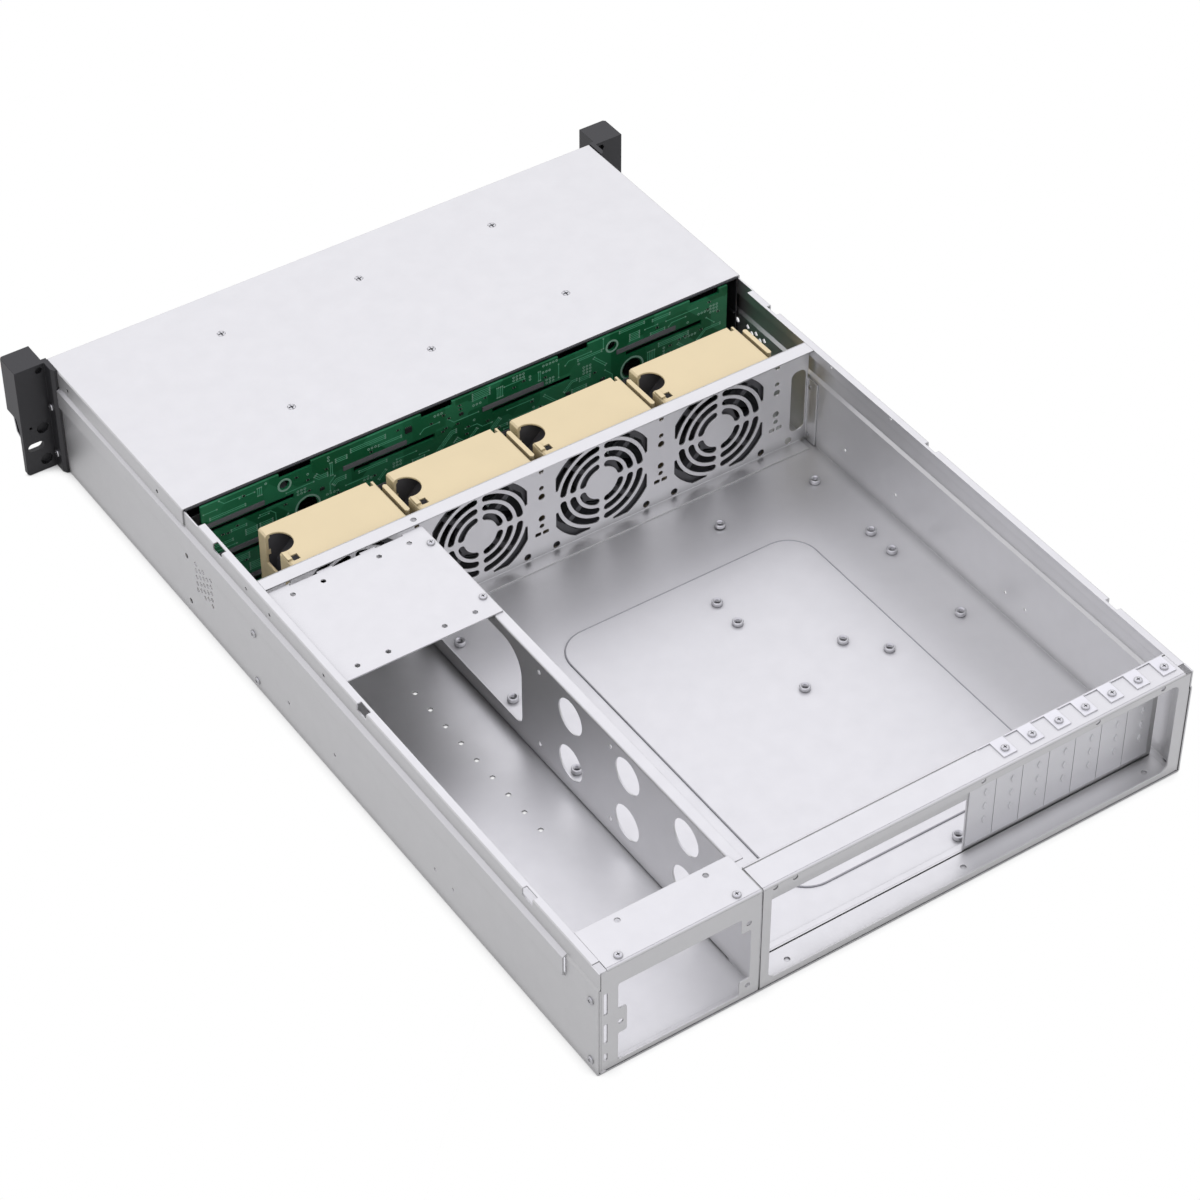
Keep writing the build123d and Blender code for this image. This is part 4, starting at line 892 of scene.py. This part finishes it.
class CASE_OT_backplane(bpy.types.Operator):
    """Finish the green board and lay its traces, vias and small parts"""

    bl_idname = "server_case.backplane"
    bl_label = "Backplane"

    def execute(self, context):
        look = context.scene.server_case
        dress("backplane", board_finish("solder_mask", look.board_colour, look.trace_colour))
        nylon = moulded_finish("glass_filled_nylon", "#77787A", 0.5, 0.6, 0.04, 0.2)
        dress("backplane_connectors", nylon)
        dice = random.Random(BOARD_SEED)
        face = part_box("backplane")[1][1] / MM
        ribbons, rings, parts, pads = (bmesh.new() for _ in range(4))
        taken, ends = set(), []
        lay_parts(parts, pads, face, taken, dice)
        lay_traces(ribbons, face, look.trace_width / MM, taken, ends, dice)
        for x, z in ends:
            add_eyelet(rings, x, z, face, 0.25, 0.6)
        for x, z in via_groups(taken, dice):
            add_eyelet(rings, x, z, face, 0.45, 0.95)
        for x, z, radius in BOARD_HOLES:
            add_eyelet(rings, x, z, face, radius + 0.2, radius + 1.6)
        masked = moulded_finish("masked_copper", "#6CC89B", 0.3, 0.8, 0.01, 0.05, 0.85)
        ringed = moulded_finish("masked_via_rings", "#A4D3BA", 0.35, 0.8, 0.01, 0.05, 0.85)
        tin = plated_finish("tinned_copper", "#DCE6DA", 0.4)
        epoxy = moulded_finish("black_epoxy", "#232425", 0.5, 0.5, 0.03, 0.1, 0.6)
        new_piece("board_traces", ribbons, masked, "case")
        new_piece("board_vias", rings, ringed, "case")
        new_piece("board_pads", pads, tin, "case")
        new_piece("board_parts", parts, epoxy, "case")
        return {"FINISHED"}


def board_clear(x, z, reach):
    """Whether a spot on the board is free of its edges, slots, sockets, notches and holes."""
    if abs(x) > 204.0 - reach or not 3.5 + reach < z < 85.0 - reach:
        return False
    for bay in BAY_PLACES:
        if abs(x - bay + 25.0) < 12.0 + reach and z > 81.5 - reach:
            return False
        for level in ROW_LEVELS:
            if abs(x - bay - 8.0) < 31.0 + reach and abs(z - level - 5.5) < 2.0 + reach:
                return False
            if abs(x - bay - 23.0) < 24.0 + reach and abs(z - level - 10.5) < 1.7 + reach:
                return False
    for hole_x, hole_z, radius in BOARD_HOLES:
        if math.hypot(x - hole_x, z - hole_z) < radius + 1.8 + reach:
            return False
    beside_socket = any(abs(x - place) < 10.0 + reach for place in SOCKET_PLACES)
    return not (beside_socket and abs(z - 26.0) < 4.5 + reach)


def cells_of(line):
    """The small squares of the board that a line of points passes, as whole numbers."""
    found = set()
    for one, two in zip(line, line[1:]):
        steps = max(int((two - one).length / 0.5), 1)
        for step in range(steps + 1):
            spot = one + (two - one) * step / steps
            found.add((round(spot.x / CELL), round(spot.y / CELL)))
    return found


def free_cells(cells, taken):
    """Whether all these squares are clear of the board's features and of what lies there."""
    return not cells & taken and all(board_clear(x * CELL, z * CELL, 0.7) for x, z in cells)


def grown(cells):
    """The cells with their eight neighbours."""
    return {(x + dx, z + dz) for x, z in cells for dx in (-1, 0, 1) for dz in (-1, 0, 1)}


def beside(line, offset):
    """The line moved sideways, with its bends kept parallel."""
    ways = [(two - one).normalized() for one, two in zip(line, line[1:])]
    sides = [Vector((-way.y, way.x)) for way in ways]
    found = []
    for place, point in enumerate(line):
        one, two = sides[max(place - 1, 0)], sides[min(place, len(sides) - 1)]
        found.append(point + (one + two) * (offset / (1 + one.dot(two))))
    return found


def lay_traces(mesh, face, width, taken, ends, dice):
    """Bundles of traces with bends of 45 degrees, laid where the board is free."""
    for _ in range(TRACE_TRIES):
        count = dice.choice((1, 2, 3, 4, 5, 7))
        line = [Vector((dice.uniform(-200, 200), dice.uniform(6, 83)))]
        turn = dice.choice((0, 0, 0, 90, 90, 45, 135))
        for leg in range(dice.choice((1, 2, 3))):
            length = dice.uniform(3, 9) if leg == 1 else dice.uniform(6, 28)
            way = Vector((math.cos(math.radians(turn)), math.sin(math.radians(turn))))
            line.append(line[-1] + way * length)
            turn += dice.choice((-45, 45))
        lines = [beside(line, TRACE_PITCH * number) for number in range(count)]
        cells = set().union(*(cells_of(one) for one in lines))
        if not free_cells(cells, taken):
            continue
        taken |= grown(cells)
        for one in lines:
            add_ribbon(mesh, one, face, width)
            ends += [(one[0].x, one[0].y), (one[-1].x, one[-1].y)]


def via_groups(taken, dice):
    """Small grids of vias where the board is still free."""
    found = []
    for _ in range(VIA_TRIES):
        wide, high = dice.choice((1, 3, 3, 4, 5)), dice.choice((1, 2, 3))
        x, z = dice.uniform(-200, 200), dice.uniform(6, 83)
        group = [(x + i * VIA_PITCH, z + j * VIA_PITCH) for i in range(wide) for j in range(high)]
        wider = grown({(round(a / CELL), round(b / CELL)) for a, b in group})
        if free_cells(wider, taken):
            taken |= wider
            found += group
    return found


def add_ribbon(mesh, line, face, width):
    """One trace: a flat bar along a line of points on the board's rear face."""
    edges = beside(line, width / 2), beside(line, -width / 2)
    rings = []
    for left, right in zip(*edges):
        ring = [(left, 0.0), (left, 0.05), (right, 0.05), (right, 0.0)]
        spots = [Vector((point.x, face + up, point.y)) * MM for point, up in ring]
        rings.append([mesh.verts.new(spot) for spot in spots])
    for one, two in zip(rings, rings[1:]):
        join_rings(mesh, one, two)
    mesh.faces.new(rings[0][::-1])
    mesh.faces.new(rings[-1])


def add_eyelet(mesh, x, z, face, inner, outer):
    """A flat ring round a hole, round a via or at the end of a trace."""
    matrix = Matrix.Translation(Vector((x, face, z)) * MM) @ Matrix.Rotation(-math.pi / 2, 4, "X")
    sides = 12 if outer < 2 else 32
    corners = ((outer, 0.0), (outer, 0.07), (inner, 0.07), (inner, 0.0))
    rings = [ring_of(mesh, matrix, r * MM, up * MM, sides) for r, up in corners]
    for one, two in zip(rings, rings[1:] + rings[:1]):
        join_rings(mesh, one, two)


def add_block(mesh, x, z, face, size):
    """A small box on the board's rear face: its width, height and depth in mm."""
    turn = Matrix.Translation(Vector((x, face + size[2] / 2, z)) * MM)
    scale = Matrix.Diagonal((size[0] * MM, size[2] * MM, size[1] * MM, 1))
    bmesh.ops.create_cube(mesh, size=1.0, matrix=turn @ scale)


def lay_parts(parts, pads, face, taken, dice):
    """Chips with their legs, and small resistors and capacitors with tinned ends."""
    ways = [(dx, dz) for dx in (-1, 0, 1) for dz in (-1, 0, 1)]
    for number in range(PART_TRIES):
        wide, high, deep = PART_SIZES[min(number // 9, 3)]
        x, z = dice.uniform(-198, 198), dice.uniform(8, 81)
        if not all(board_clear(x + dx * wide / 2, z + dz * high / 2, 1.5) for dx, dz in ways):
            continue
        cells = {
            (round((x + dx * CELL) / CELL), round((z + dz * CELL) / CELL))
            for dx in range(-int(wide), int(wide) + 1)
            for dz in range(-int(high), int(high) + 1)
        }
        if cells & taken:
            continue
        taken |= cells
        add_block(parts, x, z, face, (wide, high, deep))
        legs = int(wide / LEG_PITCH) if wide > 2 else 1
        for leg in range(legs):
            across = (leg - (legs - 1) / 2) * LEG_PITCH
            for side in (-1, 1):
                if legs > 1:
                    add_block(pads, x + across, z + side * (high / 2 + 0.4), face, (0.5, 0.8, 0.15))
                else:
                    add_block(pads, x + side * (wide / 2 + 0.2), z, face, (0.4, high, deep))


class CASE_OT_fans(bpy.types.Operator):
    """Finish the fan housings, frames and rotors"""

    bl_idname = "server_case.fans"
    bl_label = "Fan modules"

    def execute(self, context):
        look = context.scene.server_case
        cream = moulded_finish("cream_abs", look.housing_colour, 0.42, 0.8, 0.02, 0.6)
        dark = moulded_finish("fan_frame_pbt", look.fan_colour, 0.45, 0.7, 0.03, 0.4, 0.85)
        black = moulded_finish("rotor_pbt", "#1B1B1D", 0.4, 0.7, 0.02, 0.3)
        for fan in range(1, 5):
            dress(f"fan_frame_{fan}", dark)
            dress(f"fan_rotor_{fan}", black)
            node, body = f"fan_housing_{fan}", f"fan_module_{fan}"
            mesh = fan_housing(node, (fan - 2.5) * FAN_PITCH)
            new_piece(f"{node}_detail", mesh, cream, body, (node,))
        return {"FINISHED"}


def cutter(low, high):
    """A box between two corners in mm, as a mesh for a boolean."""
    mesh = bmesh.new()
    low, high = Vector(low), Vector(high)
    scale = Matrix.Diagonal((*((high - low) * MM), 1))
    bmesh.ops.create_cube(mesh, size=1.0, matrix=Matrix.Translation((low + high) / 2 * MM) @ scale)
    return mesh


def rod(x, y, radius, low, high):
    """An upright round bar in mm, as a mesh for a boolean."""
    mesh = bmesh.new()
    matrix = Matrix.Translation(Vector((x, y, (low + high) / 2)) * MM)
    sizes = {"radius1": radius * MM, "radius2": radius * MM, "depth": (high - low) * MM}
    bmesh.ops.create_cone(mesh, cap_ends=True, segments=56, matrix=matrix, **sizes)
    return mesh


def fan_housing(node, x):
    """The moulded housing with its finger hole open to the side, and the latch beside it."""
    side, top = x + 42.0, 83.3
    hole_y, latch_y = 238.1 - BODY_REAR, 255.9 - BODY_REAR
    base = bpy.data.objects.new(f"{node}_work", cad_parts[node].data.copy())
    bpy.context.scene.collection.objects.link(base)
    mesh = bmesh.new()
    mesh.from_mesh(base.data)
    bmesh.ops.remove_doubles(mesh, verts=mesh.verts, dist=0.001 * MM)
    mesh.to_mesh(base.data)
    mesh.free()
    added = (
        cutter((x + 27.0, latch_y - 6.0, top - 1.2), (x + 33.0, latch_y + 2.0, top)),
        cutter((side - 3.4, hole_y - 11.4, top - 16.0), (side - 1.0, hole_y - 9.0, top - 1.0)),
        cutter((side - 3.4, hole_y + 9.0, top - 16.0), (side - 1.0, hole_y + 11.4, top - 1.0)),
    )
    taken = (
        cutter((side - 6.4, latch_y - 8.0, top), (side - 3.2, latch_y + 4.0, top + 3.0)),
        rod(side - 4.1, hole_y, 9.8, top - 12.0, top + 3.0),
        cutter((side - 4.0, hole_y - 9.2, top - 22.0), (side + 1.0, hole_y + 9.2, top + 3.0)),
        cutter((side - 8.4, latch_y - 2.6, top - 3.0), (side - 3.6, latch_y + 2.6, top + 3.0)),
    )
    work = [("UNION", tool) for tool in added] + [("DIFFERENCE", tool) for tool in taken]
    for number, (operation, tool) in enumerate(work):
        data = bpy.data.meshes.new(f"{node}_tool_{number}")
        tool.to_mesh(data)
        tool.free()
        helper = bpy.data.objects.new(data.name, data)
        bpy.context.scene.collection.objects.link(helper)
        change = base.modifiers.new("change", "BOOLEAN")
        change.operation, change.solver, change.object = operation, "EXACT", helper
        context = bpy.context.evaluated_depsgraph_get()
        changed = bpy.data.meshes.new_from_object(base.evaluated_get(context))
        base.modifiers.clear()
        old, base.data = base.data, changed
        bpy.data.meshes.remove(old)
        bpy.data.objects.remove(helper)
        bpy.data.meshes.remove(data)
    mesh = bmesh.new()
    mesh.from_mesh(base.data)
    finished = base.data
    bpy.data.objects.remove(base)
    bpy.data.meshes.remove(finished)
    return mesh


class CASE_OT_drives(bpy.types.Operator):
    """Finish the drive trays and their levers"""

    bl_idname = "server_case.drives"
    bl_label = "Drive trays"

    def execute(self, context):
        tray = moulded_finish("tray_abs", "#343437", 0.5, 0.8, 0.03, 0.3)
        lever = moulded_finish("lever_abs", "#232326", 0.32, 0.8, 0.02, 0.4)
        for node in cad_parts:
            if node.startswith("drive_tray"):
                dress(node, tray)
            elif node.startswith("tray_lever"):
                dress(node, lever)
        return {"FINISHED"}


class CASE_OT_ears(bpy.types.Operator):
    """Finish the rack ears, their strips, the button and the lights"""

    bl_idname = "server_case.ears"
    bl_label = "Rack ears"

    def execute(self, context):
        look = context.scene.server_case
        coat = moulded_finish("charcoal_powder_coat", look.ear_colour, 0.38, 0.5, 0.05, 0.6)
        for node in ("ear_left", "ear_right"):
            dress(node, coat)
        dress("ear_trims", plated_finish("bright_strip", "#CFCFD2", 0.22))
        dress("power_button", moulded_finish("button_abs", "#8E9094", 0.35, 0.8, 0.02, 0.3))
        dress("status_lights", lens_finish("light_pipe", "#DDE5DF"))
        return {"FINISHED"}


class CASE_OT_studio(bpy.types.Operator):
    """Set the floor, the lights and the camera"""

    bl_idname = "server_case.studio"
    bl_label = "Studio"

    def execute(self, context):
        scene = context.scene
        make_floor()
        make_world(scene)
        make_lamps(scene)
        make_camera(scene)
        scene.view_settings.view_transform = "Standard"
        return {"FINISHED"}


def shows_white(tree):
    """How far a ray sees the white background: the camera wholly, metal and glass in part."""
    path = add(tree, "ShaderNodeLightPath")
    mirrored = add(tree, "ShaderNodeMath", {"operation": "MAXIMUM"})
    tree.links.new(path.outputs["Is Glossy Ray"], mirrored.inputs[0])
    tree.links.new(path.outputs["Is Transmission Ray"], mirrored.inputs[1])
    part = add(tree, "ShaderNodeMath", {"operation": "MULTIPLY"})
    tree.links.new(mirrored.outputs[0], part.inputs[0])
    part.inputs[1].default_value = MIRRORED_WHITE
    either = add(tree, "ShaderNodeMath", {"operation": "MAXIMUM"})
    tree.links.new(path.outputs["Is Camera Ray"], either.inputs[0])
    tree.links.new(part.outputs[0], either.inputs[1])
    return either.outputs[0]


def make_floor():
    """A large pale floor that shows white and keeps a soft shadow."""
    mesh = bmesh.new()
    bmesh.ops.create_grid(mesh, x_segments=1, y_segments=1, size=20.0)
    data = bpy.data.meshes.new("studio_floor")
    mesh.to_mesh(data)
    mesh.free()
    floor = bpy.data.objects.new("studio_floor", data)
    floor.location.z = -0.3 * MM
    bpy.context.scene.collection.objects.link(floor)
    material = bpy.data.materials.new("studio_paper")
    material.use_nodes = True
    tree = material.node_tree
    tree.nodes.clear()
    paper = add(tree, "ShaderNodeBsdfDiffuse", values={"Color": linear("#BEBEBE")})
    white = add(tree, "ShaderNodeEmission", values={"Color": (1, 1, 1, 1), "Strength": 1.0})
    open_sky = add(
        tree, "ShaderNodeAmbientOcclusion", {"samples": 8}, {"Distance": 14 * MM}
    )
    reach = add(
        tree,
        "ShaderNodeMapRange",
        values={"From Min": 0.15, "From Max": 0.65, "To Max": 1.0},
        links={"Value": open_sky.outputs["AO"]},
    )
    share = add(tree, "ShaderNodeMath", {"operation": "MULTIPLY"})
    tree.links.new(shows_white(tree), share.inputs[0])
    tree.links.new(reach.outputs["Result"], share.inputs[1])
    mixed = add(tree, "ShaderNodeMixShader", links={"Fac": share.outputs[0]})
    tree.links.new(paper.outputs[0], mixed.inputs[1])
    tree.links.new(white.outputs[0], mixed.inputs[2])
    add(tree, "ShaderNodeOutputMaterial", links={"Surface": mixed.outputs[0]})
    data.materials.append(material)


def make_world(scene):
    """A pale studio world that is bright above and softer towards the horizon."""
    world = bpy.data.worlds.new("studio_world")
    world.use_nodes = True
    tree = world.node_tree
    tree.nodes.clear()
    way = add(tree, "ShaderNodeTexCoord").outputs["Generated"]
    split = add(tree, "ShaderNodeSeparateXYZ", links={"Vector": way})
    level = add(
        tree,
        "ShaderNodeMapRange",
        values={"From Min": -0.1, "From Max": 0.75, "To Min": 0.1, "To Max": 0.99},
        links={"Value": split.outputs["Z"]},
    )
    seen = add(tree, "ShaderNodeMix", {"data_type": "FLOAT"})
    tree.links.new(shows_white(tree), seen.inputs["Factor"])
    tree.links.new(level.outputs["Result"], seen.inputs["A"])
    seen.inputs["B"].default_value = 1.0
    height = add(
        tree,
        "ShaderNodeMapRange",
        values={"From Min": 0.3, "From Max": 0.9},
        links={"Value": split.outputs["Z"]},
    )
    sky = add(
        tree, "ShaderNodeMix", {"data_type": "RGBA"}, links={"Factor": height.outputs["Result"]}
    )
    sky.inputs["A"].default_value = (1, 1, 1, 1)
    sky.inputs["B"].default_value = linear("#F5F3FF")
    glow = add(
        tree,
        "ShaderNodeBackground",
        values={"Color": (1, 1, 1, 1)},
        links={"Strength": seen.outputs["Result"], "Color": sky.outputs["Result"]},
    )
    add(tree, "ShaderNodeOutputWorld", links={"Surface": glow.outputs[0]})
    scene.world = world


def make_lamps(scene):
    """A broad soft box beyond the case and a weaker one beside it."""
    for name, place, size, power in LAMPS:
        lamp = bpy.data.lights.new(name, "AREA")
        lamp.shape = "SQUARE"
        lamp.size = size
        lamp.energy = power
        holder = bpy.data.objects.new(name, lamp)
        holder.location = place
        aim = Vector((0, 0, 0.04)) - Vector(place)
        holder.rotation_euler = aim.to_track_quat("-Z", "Y").to_euler()
        scene.collection.objects.link(holder)


def make_camera(scene):
    """The camera, at the photograph's place and angle."""
    place = Vector(CAMERA_PLACE) * MM
    azimuth, elevation = math.radians(CAMERA_AZIMUTH), math.radians(CAMERA_ELEVATION)
    back = Vector(
        (
            math.sin(azimuth) * math.cos(elevation),
            -math.cos(azimuth) * math.cos(elevation),
            math.sin(elevation),
        )
    )
    camera = bpy.data.cameras.new("photo_camera")
    camera.sensor_width = SENSOR_WIDTH
    camera.lens = FOCAL_PIXELS / PHOTO_PIXELS * SENSOR_WIDTH
    camera.clip_start, camera.clip_end = 0.05, 60.0
    holder = bpy.data.objects.new("photo_camera", camera)
    holder.location = place
    holder.rotation_euler = (-back).to_track_quat("-Z", "Y").to_euler()
    scene.collection.objects.link(holder)
    scene.camera = holder


# Panel and registration


class CASE_PT_pieces(bpy.types.Panel):
    """Lists the steps that dress the case"""

    bl_label = "Server case"
    bl_space_type = "VIEW_3D"
    bl_region_type = "UI"
    bl_category = "Server case"

    def draw(self, context):
        look = context.scene.server_case
        for name in CaseSettings.__annotations__:
            self.layout.prop(look, name)
        for step in STEPS:
            self.layout.operator(step.bl_idname)


STEPS = (
    CASE_OT_sheets,
    CASE_OT_fan_wall,
    CASE_OT_divider,
    CASE_OT_rear_frames,
    CASE_OT_small_sheet,
    CASE_OT_screws,
    CASE_OT_backplane,
    CASE_OT_fans,
    CASE_OT_drives,
    CASE_OT_ears,
    CASE_OT_studio,
)


def register():
    """Registers the settings, the steps and the panel."""
    for kind in (CaseSettings, *STEPS, CASE_PT_pieces):
        bpy.utils.register_class(kind)
    bpy.types.Scene.server_case = bpy.props.PointerProperty(type=CaseSettings)


def unregister():
    """Takes away what register made."""
    del bpy.types.Scene.server_case
    for kind in reversed((CaseSettings, *STEPS, CASE_PT_pieces)):
        bpy.utils.unregister_class(kind)


def main():
    """Dresses the case step by step."""
    register()
    bpy.ops.server_case.sheets()
    bpy.ops.server_case.fan_wall()
    bpy.ops.server_case.divider()
    bpy.ops.server_case.rear_frames()
    bpy.ops.server_case.small_sheet()
    bpy.ops.server_case.screws()
    bpy.ops.server_case.backplane()
    bpy.ops.server_case.fans()
    bpy.ops.server_case.drives()
    bpy.ops.server_case.ears()
    bpy.ops.server_case.studio()


if __name__ == "__main__":
    main()
